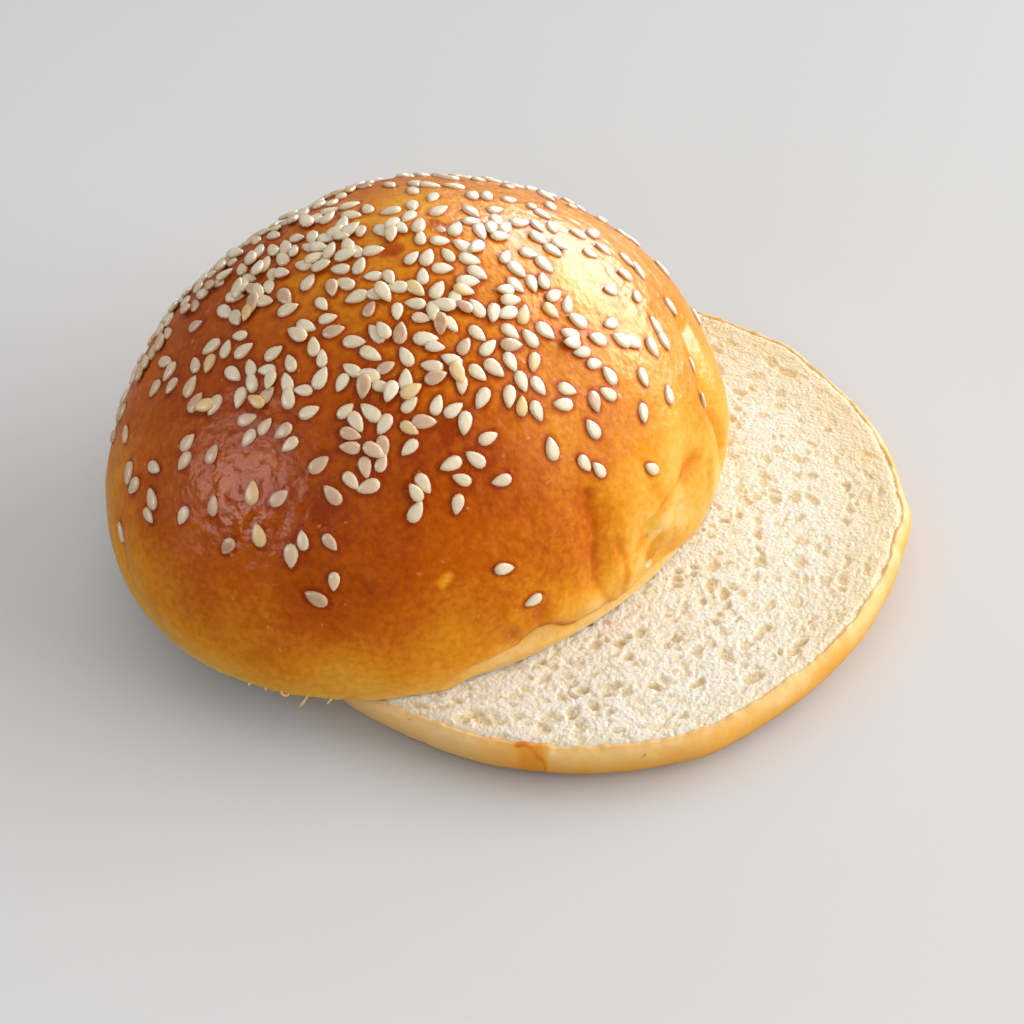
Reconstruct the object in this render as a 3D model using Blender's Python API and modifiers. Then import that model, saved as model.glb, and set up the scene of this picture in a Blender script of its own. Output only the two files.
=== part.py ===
"""A sesame burger bun, sliced in two: the domed crown lies half across the flat heel.

Blender 4.5 script in metres, +Z up. The heel stands on z = 0, +X is the side that the
heel sticks out to, and the origin is under the middle of the whole bun.
"""

import math
import random

import bmesh
import bpy
from mathutils import Matrix, Vector, noise
from mathutils.bvhtree import BVHTree

MM = 0.001

# Outlines, seen from above: mean radius, then lobes as (count, share of radius, degrees)
HEEL_RADIUS = 48.8 * MM
HEEL_LOBES = ((2, 0.054, 53.8), (3, -0.021, 22.6), (4, 0.0176, 5.1))
CROWN_RADIUS = 45.2 * MM
CROWN_LOBES = ((2, 0.093, 37.4), (3, -0.004, 5.8), (4, 0.005, -0.6))

# Heel: thickness at its middle, and how its wall curves out of the base
HEEL_HEIGHT = 9.7 * MM
HEEL_BULGE = 1.2 * MM
HEEL_WIDEST = 0.72
HEEL_BASE_INSET = 5.7 * MM
CUT_SLOPE = (0.028, 0.021)

# Crown: height of the dome above its cut face, and the shape of its side
CROWN_HEIGHT = 50.1 * MM
CROWN_BULGE = 1.1 * MM
CROWN_WIDEST = 7.6 * MM
DOME_POWER = 1.76
DOME_LEAN = (1.3 * MM, 0.5 * MM)

# The crown has slid off the heel's middle and rests on its cut face
CROWN_SLIDE = (-26.3 * MM, 4.5 * MM)
SEAT_GAP = 0.3 * MM

# Relief: slow swells of the crust, and shallow pits of the crumb
SWELL_DEPTH = 0.55 * MM
SWELL_SIZE = 21 * MM
SWELL_PLACE = Vector((3, 0, 0))
DENT_AIM = 0.4
CRUMB_DEPTH = 0.7 * MM
CRUMB_SIZE = 6 * MM
CROWN_CRUMB, HEEL_CRUMB = 4, 9

# Dents and creases of the crown: (degrees, height) of both ends, width and depth, in mm
CROWN_DENTS = (
    ((10, 25), (-1, 18), 2.6, 1.3),
    ((-1, 18), (-3, 9), 2.6, 1.5),
    ((-17, 16), (-22, 11), 4.0, 1.6),
    ((-31, 5), (-36, 12), 3.4, 1.3),
    ((-48, 23), (-49, 10), 3.2, 0.7),
    ((-70, 5), (-46, 2), 2.4, 0.9),
    ((-152, 12), (-142, 4), 3.4, 0.9),
    ((70, 10), (82, 17), 5.0, 1.0),
    ((128, 6), (121, 15), 4.0, 1.1),
    ((165, 22), (172, 14), 5.5, 0.8),
)
# Knobs of the heel's crust: degrees, share of the wall's height, width and height in mm
HEEL_KNOBS = ((48, 0.8, 4.5, 1.2), (-3, 0.8, 4.0, 0.9), (-72, 0.5, 6.0, 0.6), (140, 0.6, 7.0, 0.9))

# Sesame seeds, teardrop and flat, scattered on the top of the dome
SEED_SIZE = (3.4 * MM, 2.15 * MM, 1.2 * MM)
SEED_SIDES = 7
SEED_TOP = 0.62
SEED_TAPER = 0.8
SEED_RISE = 0.1 * MM
SEED_COUNT = 190
SEED_SPACING = 3.7 * MM
SEED_PATCH_CENTRE = (-7 * MM, -1 * MM)
SEED_PATCH_RADII = (31 * MM, 37 * MM)
SEED_PATCH_EDGE = 0.16
SEED_LOWEST = 14 * MM

TURN_STEPS = 72
DOME_RINGS = 16

bun = bpy.data.collections.new("burger_bun")


def clear_scene():
    """Start from an empty scene."""
    for thing in list(bpy.data.objects):
        bpy.data.objects.remove(thing)
    bpy.context.scene.collection.children.link(bun)


def bread_material(name, colour, roughness):
    """A matt to glossy bread surface."""
    material = bpy.data.materials.new(name)
    material.use_nodes = True
    surface = material.node_tree.nodes["Principled BSDF"]
    surface.inputs["Base Color"].default_value = (*colour, 1)
    surface.inputs["Roughness"].default_value = roughness
    surface.inputs["Metallic"].default_value = 0
    return material


def apply_modifiers(thing):
    """Swap an object's mesh for its evaluated one."""
    graph = bpy.context.evaluated_depsgraph_get()
    mesh = bpy.data.meshes.new_from_object(thing.evaluated_get(graph))
    thing.modifiers.clear()
    thing.data = mesh


def turned_body(name, profile):
    """Turn a profile of (radius, height) points round Z into one closed body."""
    mesh = bpy.data.meshes.new(name)
    points = [(radius, 0, height) for radius, height in profile]
    mesh.from_pydata(points, [(i, i + 1) for i in range(len(points) - 1)], [])
    body = bpy.data.objects.new(name, mesh)
    bun.objects.link(body)
    screw = body.modifiers.new("Turn", "SCREW")
    screw.steps = TURN_STEPS
    screw.render_steps = TURN_STEPS
    screw.use_merge_vertices = True
    screw.merge_threshold = 0.01 * MM
    apply_modifiers(body)
    return body


def lobed(lobes, angle):
    """How far the outline stands out at an angle, as a share of its mean radius."""
    return 1 + sum(share * math.cos(count * (angle - math.radians(turn))) for count, share, turn in lobes)


def cut_height(x, y):
    """Height of the heel's cut face over a place measured from the heel's middle."""
    return HEEL_HEIGHT + CUT_SLOPE[0] * x + CUT_SLOPE[1] * y


def crumb(x, y, pattern):
    """Depth of the crumb's pits at a place on a cut face."""
    value = noise.noise(Vector((x / CRUMB_SIZE, y / CRUMB_SIZE, pattern)))
    return CRUMB_DEPTH * max(0, value + 0.25)


def two_toned(body, crust, crumb_tone, facing):
    """Crust all over, and crumb on the cut face, which faces up (1) or down (-1)."""
    body.data.materials.append(crust)
    body.data.materials.append(crumb_tone)
    for face in body.data.polygons:
        radius = math.hypot(face.center.x, face.center.y)
        cut = face.normal.z * facing > 0.85 and radius < HEEL_RADIUS * 1.05
        face.material_index = int(cut)


# ---- crown ----
def dome_radius(height):
    """Radius of the crown's plain side at a height above its cut face."""
    widest = CROWN_RADIUS + CROWN_BULGE
    if height < CROWN_WIDEST:
        share = 1 - height / CROWN_WIDEST
        return widest - CROWN_BULGE * share * share
    share = (height - CROWN_WIDEST) / (CROWN_HEIGHT - CROWN_WIDEST)
    return widest * max(0, 1 - share**DOME_POWER) ** (1 / DOME_POWER)


def crown_profile():
    """Points from the top of the dome, down its side and in along the cut face."""
    points = []
    for ring in range(DOME_RINGS + 1):
        turn = math.pi / 2 * (1 - ring / DOME_RINGS)
        height = CROWN_WIDEST + (CROWN_HEIGHT - CROWN_WIDEST) * math.sin(turn) ** (2 / DOME_POWER)
        points.append((0 if ring == 0 else dome_radius(height), height))
    for height in (5 * MM, 2.4 * MM, 0):
        points.append((dome_radius(height), height))
    for share in (0.93, 0.76, 0.5, 0.25, 0):
        points.append((CROWN_RADIUS * share, 0))
    return points


def off_round(x, y, height):
    """Where the lobed and leaning crown has a point of the plain turned one."""
    stretch = lobed(CROWN_LOBES, math.atan2(y, x))
    lean = (height / CROWN_HEIGHT) ** 2
    return Vector((x * stretch + DOME_LEAN[0] * lean, y * stretch + DOME_LEAN[1] * lean, height))


def on_crown(degrees, height):
    """The point of the crown's plain side in a direction and at a height."""
    radius, angle = dome_radius(height), math.radians(degrees)
    return off_round(radius * math.cos(angle), radius * math.sin(angle), height)


def on_side(point):
    """Whether a point of the turned crown is on its side, and not within its cut face."""
    return point.z > 0.01 * MM or math.hypot(point.x, point.y) > 0.99 * CROWN_RADIUS


def distance_to_line(point, start, end):
    """Distance from a point to the stretch between two others."""
    along = end - start
    share = (point - start).dot(along) / along.length_squared
    return (point - start - along * min(1, max(0, share))).length


def dent_depth(point):
    """How far the dents and creases push the crown's crust in at a point."""
    depth = 0
    for start, end, width, deepest in CROWN_DENTS:
        ends = [on_crown(degrees, height * MM) for degrees, height in (start, end)]
        away = distance_to_line(point, *ends) / (width * MM)
        depth += deepest * MM * math.exp(-away * away)
    return depth


def shape_crown(body):
    """Give the turned crown its outline, lean, swells, dents and crumb."""
    for vertex in body.data.vertices:
        point = off_round(*vertex.co)
        if on_side(vertex.co):
            swell = noise.noise(point / SWELL_SIZE + SWELL_PLACE) * SWELL_DEPTH
            swell *= min(1, point.z / CROWN_WIDEST)
            outward = (point - Vector((0, 0, point.z * DENT_AIM))).normalized()
            point += outward * (swell - dent_depth(point))
        else:
            point.z += crumb(point.x, point.y, CROWN_CRUMB)
        vertex.co = point


# ---- seeds ----
def seed_share(point):
    """Share of the full sprinkling of seeds that lies round a point of the dome."""
    if point.z < SEED_LOWEST:
        return 0
    across = (point.x - SEED_PATCH_CENTRE[0]) / SEED_PATCH_RADII[0]
    along = (point.y - SEED_PATCH_CENTRE[1]) / SEED_PATCH_RADII[1]
    inside = 1 - math.hypot(across, along)
    return 0.04 + 0.96 / (1 + math.exp(-inside / SEED_PATCH_EDGE * 2))


def seed_places(surface):
    """Places, normals, turns and sizes of the seeds, by seeded dart throwing on the dome."""
    draw = random.Random(11)
    places = []
    while len(places) < SEED_COUNT:
        angle = draw.uniform(0, 2 * math.pi)
        rise = draw.random()
        chance, turn, size = draw.random(), draw.uniform(0, 360), draw.uniform(0.9, 1.1)
        aim = Vector((math.cos(angle), math.sin(angle), 0)) * math.sqrt(1 - rise * rise)
        aim.z = rise
        point, normal, _, _ = surface.ray_cast(aim * 200 * MM, -aim)
        if chance > seed_share(point):
            continue
        if any((point - other[0]).length < SEED_SPACING for other in places):
            continue
        places.append((point, normal, turn, size))
    return places


def seed_mesh():
    """A flat teardrop with few sides, its point at +X and its wide foot buried."""
    shape = bmesh.new()
    bmesh.ops.create_cone(
        shape, cap_ends=True, segments=SEED_SIDES, radius1=0.5, radius2=0.5 * SEED_TOP, depth=1
    )
    tip = max(shape.verts, key=lambda vertex: vertex.co.x)
    turn = Matrix.Rotation(-math.atan2(tip.co.y, tip.co.x), 3, "Z")
    bmesh.ops.rotate(shape, verts=shape.verts, matrix=turn)
    for vertex in shape.verts:
        vertex.co.y *= 1 - SEED_TAPER * max(0, vertex.co.x)
        vertex.co = Vector([vertex.co[axis] * SEED_SIZE[axis] for axis in range(3)])
    mesh = bpy.data.meshes.new("sesame_seed")
    shape.to_mesh(mesh)
    shape.free()
    return mesh


def sprinkle_seeds(body):
    """Fuse the seeds to the crown with one union."""
    shape = bmesh.new()
    shape.from_mesh(body.data)
    surface = BVHTree.FromBMesh(shape)
    shape.free()
    seeds = bpy.data.collections.new("seeds")
    bpy.context.scene.collection.children.link(seeds)
    mesh = seed_mesh()
    for point, normal, turn, size in seed_places(surface):
        seed = bpy.data.objects.new("seed", mesh)
        lie = normal.to_track_quat("Z", "Y").to_matrix().to_4x4()
        spin = Matrix.Rotation(math.radians(turn), 4, "Z")
        place = Matrix.Translation(point + normal * SEED_RISE)
        seed.matrix_world = place @ lie @ spin @ Matrix.Scale(size, 4)
        seeds.objects.link(seed)
    union = body.modifiers.new("Seeds", "BOOLEAN")
    union.operation = "UNION"
    union.operand_type = "COLLECTION"
    union.collection = seeds
    apply_modifiers(body)
    for seed in list(seeds.objects):
        bpy.data.objects.remove(seed)
    bpy.data.collections.remove(seeds)


def tidy_mesh(body):
    """Keep the one closed body, as triangles with no slivers."""
    shape = bmesh.new()
    shape.from_mesh(body.data)
    bmesh.ops.remove_doubles(shape, verts=shape.verts, dist=0.002 * MM)
    bmesh.ops.dissolve_degenerate(shape, edges=shape.edges, dist=0.002 * MM)
    bmesh.ops.triangulate(shape, faces=shape.faces)
    shape.to_mesh(body.data)
    shape.free()


def make_crown():
    """The top half: a domed crust with seeds, cut flat below."""
    crown = turned_body("crown", crown_profile())
    shape_crown(crown)
    sprinkle_seeds(crown)
    tidy_mesh(crown)
    glazed = bread_material("crown_crust", (0.42, 0.085, 0.006), 0.32)
    two_toned(crown, glazed, bread_material("crown_crumb", (0.86, 0.74, 0.52), 0.9), -1)
    up = Vector((-CUT_SLOPE[0], -CUT_SLOPE[1], 1)).normalized()
    side = Vector((1, 0, CUT_SLOPE[0])).normalized()
    turn = Matrix((side, up.cross(side), up)).transposed()
    crown.rotation_euler = turn.to_euler()
    crown.location = (*CROWN_SLIDE, cut_height(*CROWN_SLIDE) + SEAT_GAP)
    return crown


# ---- heel ----
def heel_profile():
    """Points from the middle of the cut face, out, down the wall and in along the base."""
    points = [(HEEL_RADIUS * share, 1) for share in (0, 0.25, 0.45, 0.62, 0.76, 0.87, 0.95, 1)]
    points.append((HEEL_RADIUS + HEEL_BULGE * 0.8, 0.5 + HEEL_WIDEST / 2))
    for turn in (90, 64, 40, 18, 0):
        turn = math.radians(turn)
        radius = HEEL_RADIUS - HEEL_BASE_INSET + (HEEL_BASE_INSET + HEEL_BULGE) * math.sin(turn)
        points.append((radius, HEEL_WIDEST * (1 - math.cos(turn))))
    points += [(HEEL_RADIUS * share, 0) for share in (0.55, 0)]
    return [(radius, share * HEEL_HEIGHT) for radius, share in points]


def knob_height(point):
    """How far the knobs of the heel's crust stand out at a point."""
    height = 0
    for turn, rise, width, tallest in HEEL_KNOBS:
        angle = math.radians(turn)
        reach = HEEL_RADIUS * lobed(HEEL_LOBES, angle)
        x, y = reach * math.cos(angle), reach * math.sin(angle)
        away = (point - Vector((x, y, rise * cut_height(x, y)))).length / (width * MM)
        height += tallest * MM * math.exp(-away * away)
    return height


def shape_heel(body):
    """Give the turned heel its outline, sloping cut face, knobs and crumb."""
    for vertex in body.data.vertices:
        x, y, height = vertex.co
        share = height / HEEL_HEIGHT
        radius = math.hypot(x, y)
        stretch = lobed(HEEL_LOBES, math.atan2(y, x))
        point = Vector((x * stretch, y * stretch, 0))
        point.z = share * cut_height(point.x, point.y)
        if share > 0.999 and radius < 0.99 * HEEL_RADIUS:
            point.z -= crumb(point.x, point.y, HEEL_CRUMB)
        elif 0.05 < share < 0.999:
            point += Vector((x, y, 0)).normalized() * knob_height(point)
        vertex.co = point


def make_heel():
    """The bottom half: a thin round slab in pale crust, cut face up."""
    heel = turned_body("heel", heel_profile())
    shape_heel(heel)
    tidy_mesh(heel)
    baked = bread_material("heel_crust", (0.72, 0.36, 0.1), 0.55)
    two_toned(heel, baked, bread_material("heel_crumb", (0.88, 0.77, 0.55), 0.9), 1)
    return heel


def centre_over_origin(pieces):
    """Move the pieces together so that the origin is under the middle of their box."""
    bpy.context.view_layer.update()
    points = [piece.matrix_world @ vertex.co for piece in pieces for vertex in piece.data.vertices]
    middle = [(min(p[axis] for p in points) + max(p[axis] for p in points)) / 2 for axis in (0, 1)]
    for piece in pieces:
        piece.location.x -= middle[0]
        piece.location.y -= middle[1]
        piece.data.shade_smooth()
        piece.data.set_sharp_from_angle(angle=math.radians(40))
        print(piece.name, "at", [round(value / MM, 3) for value in piece.location], "mm")


clear_scene()
centre_over_origin([make_heel(), make_crown()])
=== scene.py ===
# %% [markdown]
# # A sesame burger bun, sliced in two
#
# The bun was cut flat, and its top half, the crown, has slid to the left across its bottom
# half, the heel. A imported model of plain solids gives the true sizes. This lesson builds
# the looks around it: glazed crust, porous crumb, sesame seeds and torn bread fibres.

# %% Load the plain solids
import math
import random

import bpy
import numpy as np
from mathutils import Matrix, Vector, noise
from mathutils.bvhtree import BVHTree
from mathutils.kdtree import KDTree


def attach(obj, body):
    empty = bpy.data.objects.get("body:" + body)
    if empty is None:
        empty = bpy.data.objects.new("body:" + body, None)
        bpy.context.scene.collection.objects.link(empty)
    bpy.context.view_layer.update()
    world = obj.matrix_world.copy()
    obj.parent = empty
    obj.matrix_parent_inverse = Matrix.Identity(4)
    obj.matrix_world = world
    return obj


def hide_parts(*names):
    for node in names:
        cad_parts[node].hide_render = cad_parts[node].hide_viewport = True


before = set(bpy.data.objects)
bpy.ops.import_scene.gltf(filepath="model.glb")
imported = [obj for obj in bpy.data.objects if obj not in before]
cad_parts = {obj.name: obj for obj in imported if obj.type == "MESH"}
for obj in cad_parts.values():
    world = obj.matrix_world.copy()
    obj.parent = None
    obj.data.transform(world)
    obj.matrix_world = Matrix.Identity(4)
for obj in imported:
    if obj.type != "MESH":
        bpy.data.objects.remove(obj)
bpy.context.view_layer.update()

MM = 0.001
scene = bpy.context.scene
print("solids:", sorted(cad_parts))

# %% [markdown]
# ## Measures
#
# A baked bun is round only at first sight. Seen from above, each outline is a circle with
# a few shallow lobes, and a short list of lobes is easier to change than a long list of
# points. The dome is a superellipse, which is how dough stands when it has spread a bit.

# %% Sizes of both halves
HEEL_MIDDLE = Vector((12.306, -1.038, 0)) * MM
HEEL_RADIUS = 48.8 * MM
HEEL_LOBES = ((2, 0.054, 53.8), (3, -0.021, 22.6), (4, 0.0176, 5.1))
HEEL_HEIGHT = 9.7 * MM
HEEL_BULGE = 1.2 * MM
HEEL_WIDEST = 0.72
HEEL_BASE_INSET = 5.7 * MM
HEEL_KNOBS = ((48, 0.8, 4.5, 1.2), (-3, 0.8, 4.0, 0.9), (-72, 0.5, 6.0, 0.6), (140, 0.6, 7.0, 0.9))
CUT_SLOPE = (0.028, 0.021)
CROWN_RADIUS = 45.2 * MM
CROWN_LOBES = ((2, 0.093, 37.4), (3, -0.004, 5.8), (4, 0.005, -0.6))
CROWN_HEIGHT = 50.1 * MM
CROWN_BULGE = 1.1 * MM
CROWN_WIDEST = 7.6 * MM
DOME_POWER = 1.76
DOME_LEAN = (1.3 * MM, 0.5 * MM)
CROWN_SLIDE = (-26.3 * MM, 4.5 * MM)
SEAT_GAP = 0.3 * MM


def lobed(lobes, angle):
    """How far an outline stands out at an angle, as a share of its mean radius."""
    return 1 + sum(share * np.cos(count * (angle - math.radians(turn))) for count, share, turn in lobes)


def cut_height(x, y):
    """Height of the heel's cut face over a place measured from the heel's middle."""
    return HEEL_HEIGHT + CUT_SLOPE[0] * x + CUT_SLOPE[1] * y


def dome_radius(height):
    """Radius of the crown's plain side at heights above its cut face."""
    widest = CROWN_RADIUS + CROWN_BULGE
    below = 1 - np.clip(height / CROWN_WIDEST, 0, 1)
    above = np.clip((height - CROWN_WIDEST) / (CROWN_HEIGHT - CROWN_WIDEST), 0, 1)
    dome = widest * (1 - above**DOME_POWER) ** (1 / DOME_POWER)
    return np.where(height < CROWN_WIDEST, widest - CROWN_BULGE * below**2, dome)


up = Vector((-CUT_SLOPE[0], -CUT_SLOPE[1], 1)).normalized()
side = Vector((1, 0, CUT_SLOPE[0])).normalized()
crown_turn = Matrix((side, up.cross(side), up)).transposed().to_4x4()
crown_lift = cut_height(*CROWN_SLIDE) + SEAT_GAP
CROWN_PLACE = Matrix.Translation(HEEL_MIDDLE + Vector((*CROWN_SLIDE, crown_lift))) @ crown_turn
print("crown stands", round(crown_lift / MM, 2), "mm up, heel", round(HEEL_RADIUS * 2 / MM, 1), "mm wide")

# %% [markdown]
# ## Small helpers
#
# Shapes start as primitives and are cut and pulled in edit mode. Uneven, grown detail such
# as wrinkles and pores is then easier to set as one rule for all points at once than by
# hand, so three helpers read a mesh's points, write them back, and note a value on them.

# %% Helpers for meshes
def deselect():
    """Leave edit mode and select nothing."""
    if bpy.context.object and bpy.context.object.mode != "OBJECT":
        bpy.ops.object.mode_set(mode="OBJECT")
    bpy.ops.object.select_all(action="DESELECT")


def new_piece(name):
    """Name the primitive that was just added."""
    piece = bpy.context.object
    piece.name = name
    piece.data.name = name
    return piece


def points_of(piece):
    """All points of a mesh as rows of x, y, z."""
    rows = np.empty(len(piece.data.vertices) * 3)
    piece.data.vertices.foreach_get("co", rows)
    return rows.reshape(-1, 3)


def set_points(piece, rows):
    """Move all points of a mesh."""
    piece.data.vertices.foreach_set("co", np.ascontiguousarray(rows, np.float32).ravel())
    piece.data.update()


def note(piece, name, values):
    """Keep one value for each point of a mesh, for its material to read."""
    field = piece.data.attributes.new(name, "FLOAT", "POINT")
    field.data.foreach_set("value", np.ascontiguousarray(values, np.float32))


def smooth(low, high, values):
    """0 below low, 1 above high, and a soft S between."""
    share = np.clip((values - low) / (high - low), 0, 1)
    return share * share * (3 - 2 * share)


def soft_noise(rows, size, place=0.0):
    """Smooth noise of about -1 to 1 at rows of x, y, z, with bumps of the given size."""
    shift = Vector((place, place * 1.7, place * 0.3))
    return np.array([noise.noise(Vector(row) + shift) for row in rows / size])


def layered_noise(rows, layers, ridged=False):
    """A sum of smooth noises, each given by its size in millimetres, its place and its share."""
    total = 0
    for size, place, share in layers:
        layer = soft_noise(rows, size * MM, place)
        total = total + (np.abs(layer) if ridged else layer) * share
    return total


def count_triangles(piece):
    """How many triangles a piece has."""
    piece.data.calc_loop_triangles()
    return len(piece.data.loop_triangles)


def select_only(piece):
    """Select one piece and make it the active one."""
    deselect()
    piece.select_set(True)
    bpy.context.view_layer.objects.active = piece


def shade(piece, sharp_above=None):
    """Shade a piece smooth, but keep edges sharp above an angle in degrees."""
    select_only(piece)
    bpy.ops.object.shade_smooth()
    if sharp_above:
        piece.data.set_sharp_from_angle(angle=math.radians(sharp_above))


def ray_surface(rows, piece):
    """The faces of a piece in a form that rays can be cast at."""
    faces = [tuple(face.vertices) for face in piece.data.polygons]
    return BVHTree.FromPolygons([Vector(row) for row in rows], faces)


print("helpers are ready")


# %% [markdown]
# ## The crown's crust
#
# A ball made from a cube has even, square faces all over, and no star of thin faces at its
# top, so the many small wrinkles of a crust sit on it evenly. Half of that ball is kept,
# its open edge is extruded down for the side, then in and up for the cut face.

# %% A cube becomes half a ball
DOME_STEPS = 72
SIDE_ROWS = 16
SIDE_DEPTH = 0.16
EDGE_STEPS = ((0.976, 0), (0.97, 0.045), (0.94, 0.05))

deselect()
bpy.ops.mesh.primitive_cube_add(size=2)
crown = new_piece("crown_crust")
bpy.ops.object.mode_set(mode="EDIT")
bpy.ops.mesh.select_all(action="SELECT")
bpy.ops.mesh.subdivide(number_cuts=1)
bpy.ops.mesh.subdivide(number_cuts=DOME_STEPS - 1)
deselect()
set_points(crown, np.tan(points_of(crown) * math.pi / 4))
ball = crown.modifiers.new("Ball", "CAST")
ball.factor = 1
ball.radius = 0
ball.size = 1
ball.use_radius_as_size = False
select_only(crown)
bpy.ops.object.modifier_apply(modifier=ball.name)
deselect()
rows = points_of(crown)
rows /= np.linalg.norm(rows, axis=1)[:, None]
set_points(crown, rows)
print("ball:", len(rows), "points")

# %% [markdown]
# Only the upper half of the ball is kept. Its lower faces are picked by the height of their
# middles and deleted, and the open edge that is left is the place to go on from.

# %% The side and the cut face grow from the open edge
for part in (*crown.data.edges, *crown.data.vertices):
    part.select = False
for face in crown.data.polygons:
    face.select = face.center.z < 0
bpy.ops.object.mode_set(mode="EDIT")
bpy.ops.mesh.select_mode(type="FACE")
bpy.ops.mesh.delete(type="FACE")
bpy.ops.mesh.select_mode(type="EDGE")
bpy.ops.mesh.select_all(action="DESELECT")
bpy.ops.mesh.select_non_manifold()
for row in range(SIDE_ROWS):
    bpy.ops.mesh.extrude_region_move(TRANSFORM_OT_translate={"value": (0, 0, -SIDE_DEPTH / SIDE_ROWS)})
for scale, rise in EDGE_STEPS:
    bpy.ops.mesh.extrude_region_move(TRANSFORM_OT_translate={"value": (0, 0, rise)})
    bpy.ops.transform.resize(value=(scale, scale, 1), center_override=(0, 0, 0))
bpy.ops.mesh.edge_face_add()
deselect()
print("crown crust:", count_triangles(crown), "triangles")

# %% [markdown]
# The half ball now gets the crown's real form. Each point keeps its direction, and its
# height on the ball says how high it lies on the dome. The slow swells and the first ten
# dents follow the rules that the plain solid was made with, so the piece lies where it
# lies. The last three dents bring the outline a millimetre nearer to the real bun's.

# %% Half a ball becomes the dome
SWELL_DEPTH = 0.55 * MM
SWELL_SIZE = 21 * MM
SWELL_PLACE = Vector((3, 0, 0))
DENT_AIM = 0.4
SIDE_REACH = 0.99
CROWN_DENTS = (
    ((10, 25), (-1, 18), 2.6, 1.3),
    ((-1, 18), (-3, 9), 2.6, 1.5),
    ((-17, 16), (-22, 11), 4.0, 1.6),
    ((-31, 5), (-36, 12), 3.4, 1.3),
    ((-48, 23), (-49, 10), 3.2, 0.7),
    ((-70, 5), (-46, 2), 2.4, 0.9),
    ((-152, 12), (-142, 4), 3.4, 0.5),
    ((70, 10), (82, 17), 5.0, 1.0),
    ((128, 6), (121, 15), 4.0, 1.1),
    ((165, 22), (172, 14), 5.5, 0.8),
    ((168, 35), (122, 43), 14.0, -1.2),
    ((12, 27), (31, 38), 12.0, 0.9),
    ((-37, 0), (-27, 2), 4.5, 1.5),
)


def off_round(rows):
    """Where the lobed and leaning crown has points of the plain round one."""
    stretch = lobed(CROWN_LOBES, np.arctan2(rows[:, 1], rows[:, 0]))
    lean = (rows[:, 2] / CROWN_HEIGHT) ** 2
    return np.column_stack((
        rows[:, 0] * stretch + DOME_LEAN[0] * lean,
        rows[:, 1] * stretch + DOME_LEAN[1] * lean,
        rows[:, 2],
    ))


def on_crown(degrees, height):
    """The point of the crown's plain side in a direction, at a height in millimetres."""
    radius, angle = dome_radius(height * MM), math.radians(degrees)
    return off_round(np.array([[radius * math.cos(angle), radius * math.sin(angle), height * MM]]))[0]


def distance_to_line(rows, ends):
    """Shortest distance from each point to a line through places on the crown."""
    corners = [on_crown(*end) for end in ends]
    nearest = np.full(len(rows), 1.0)
    for start, end in zip(corners, corners[1:]):
        along = end - start
        share = np.clip((rows - start) @ along / (along @ along), 0, 1)
        away = np.linalg.norm(rows - start - share[:, None] * along, axis=1)
        nearest = np.minimum(nearest, away)
    return nearest


print("dents:", len(CROWN_DENTS))

# %% [markdown]
# A point of the ball with height 0 goes to the dome's widest place, and the extruded rows
# below it become the tucked side. What lies inside them is the cut face, which stays flat.

# %% Every point moves to its place on the dome
ball_rows = points_of(crown)
reach = np.hypot(ball_rows[:, 0], ball_rows[:, 1])
heading = np.arctan2(ball_rows[:, 1], ball_rows[:, 0])
rise = np.clip(ball_rows[:, 2], 0, 1)
above = CROWN_WIDEST + (CROWN_HEIGHT - CROWN_WIDEST) * rise ** (2 / DOME_POWER)
below = CROWN_WIDEST * (1 + ball_rows[:, 2] / SIDE_DEPTH)
inside = (ball_rows[:, 2] < 0) & (reach < SIDE_REACH)
height = np.where(ball_rows[:, 2] >= 0, above, below)
round_radius = np.where(inside, CROWN_RADIUS * reach, dome_radius(height))
round_rows = np.column_stack((round_radius * np.cos(heading), round_radius * np.sin(heading), height))
dome = off_round(round_rows)
on_skin = ~inside
outward = dome.copy()
outward[:, 2] -= dome[:, 2] * DENT_AIM
outward /= np.linalg.norm(outward, axis=1)[:, None]
swell = np.array([noise.noise(Vector(row) + SWELL_PLACE) for row in dome / SWELL_SIZE]) * SWELL_DEPTH
push = swell * np.clip(dome[:, 2] / CROWN_WIDEST, 0, 1)
for start, end, width, deepest in CROWN_DENTS:
    away = distance_to_line(dome, (start, end)) / (width * MM)
    push -= deepest * MM * np.exp(-away * away)
print("dome:", round(dome[:, 2].max() / MM, 1), "mm high, dents down to", round(push.min() / MM, 2), "mm")

# %% [markdown]
# ## Creases, lip and skin
#
# Where the dough met the tray's next bun, and where it sagged under its own weight, the
# skin folded. The folds are narrow lines of their own, deeper and sharper than the dents.
# Along the front the glazed skin ends in a lip, and the unglazed band below it stays pale.

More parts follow.
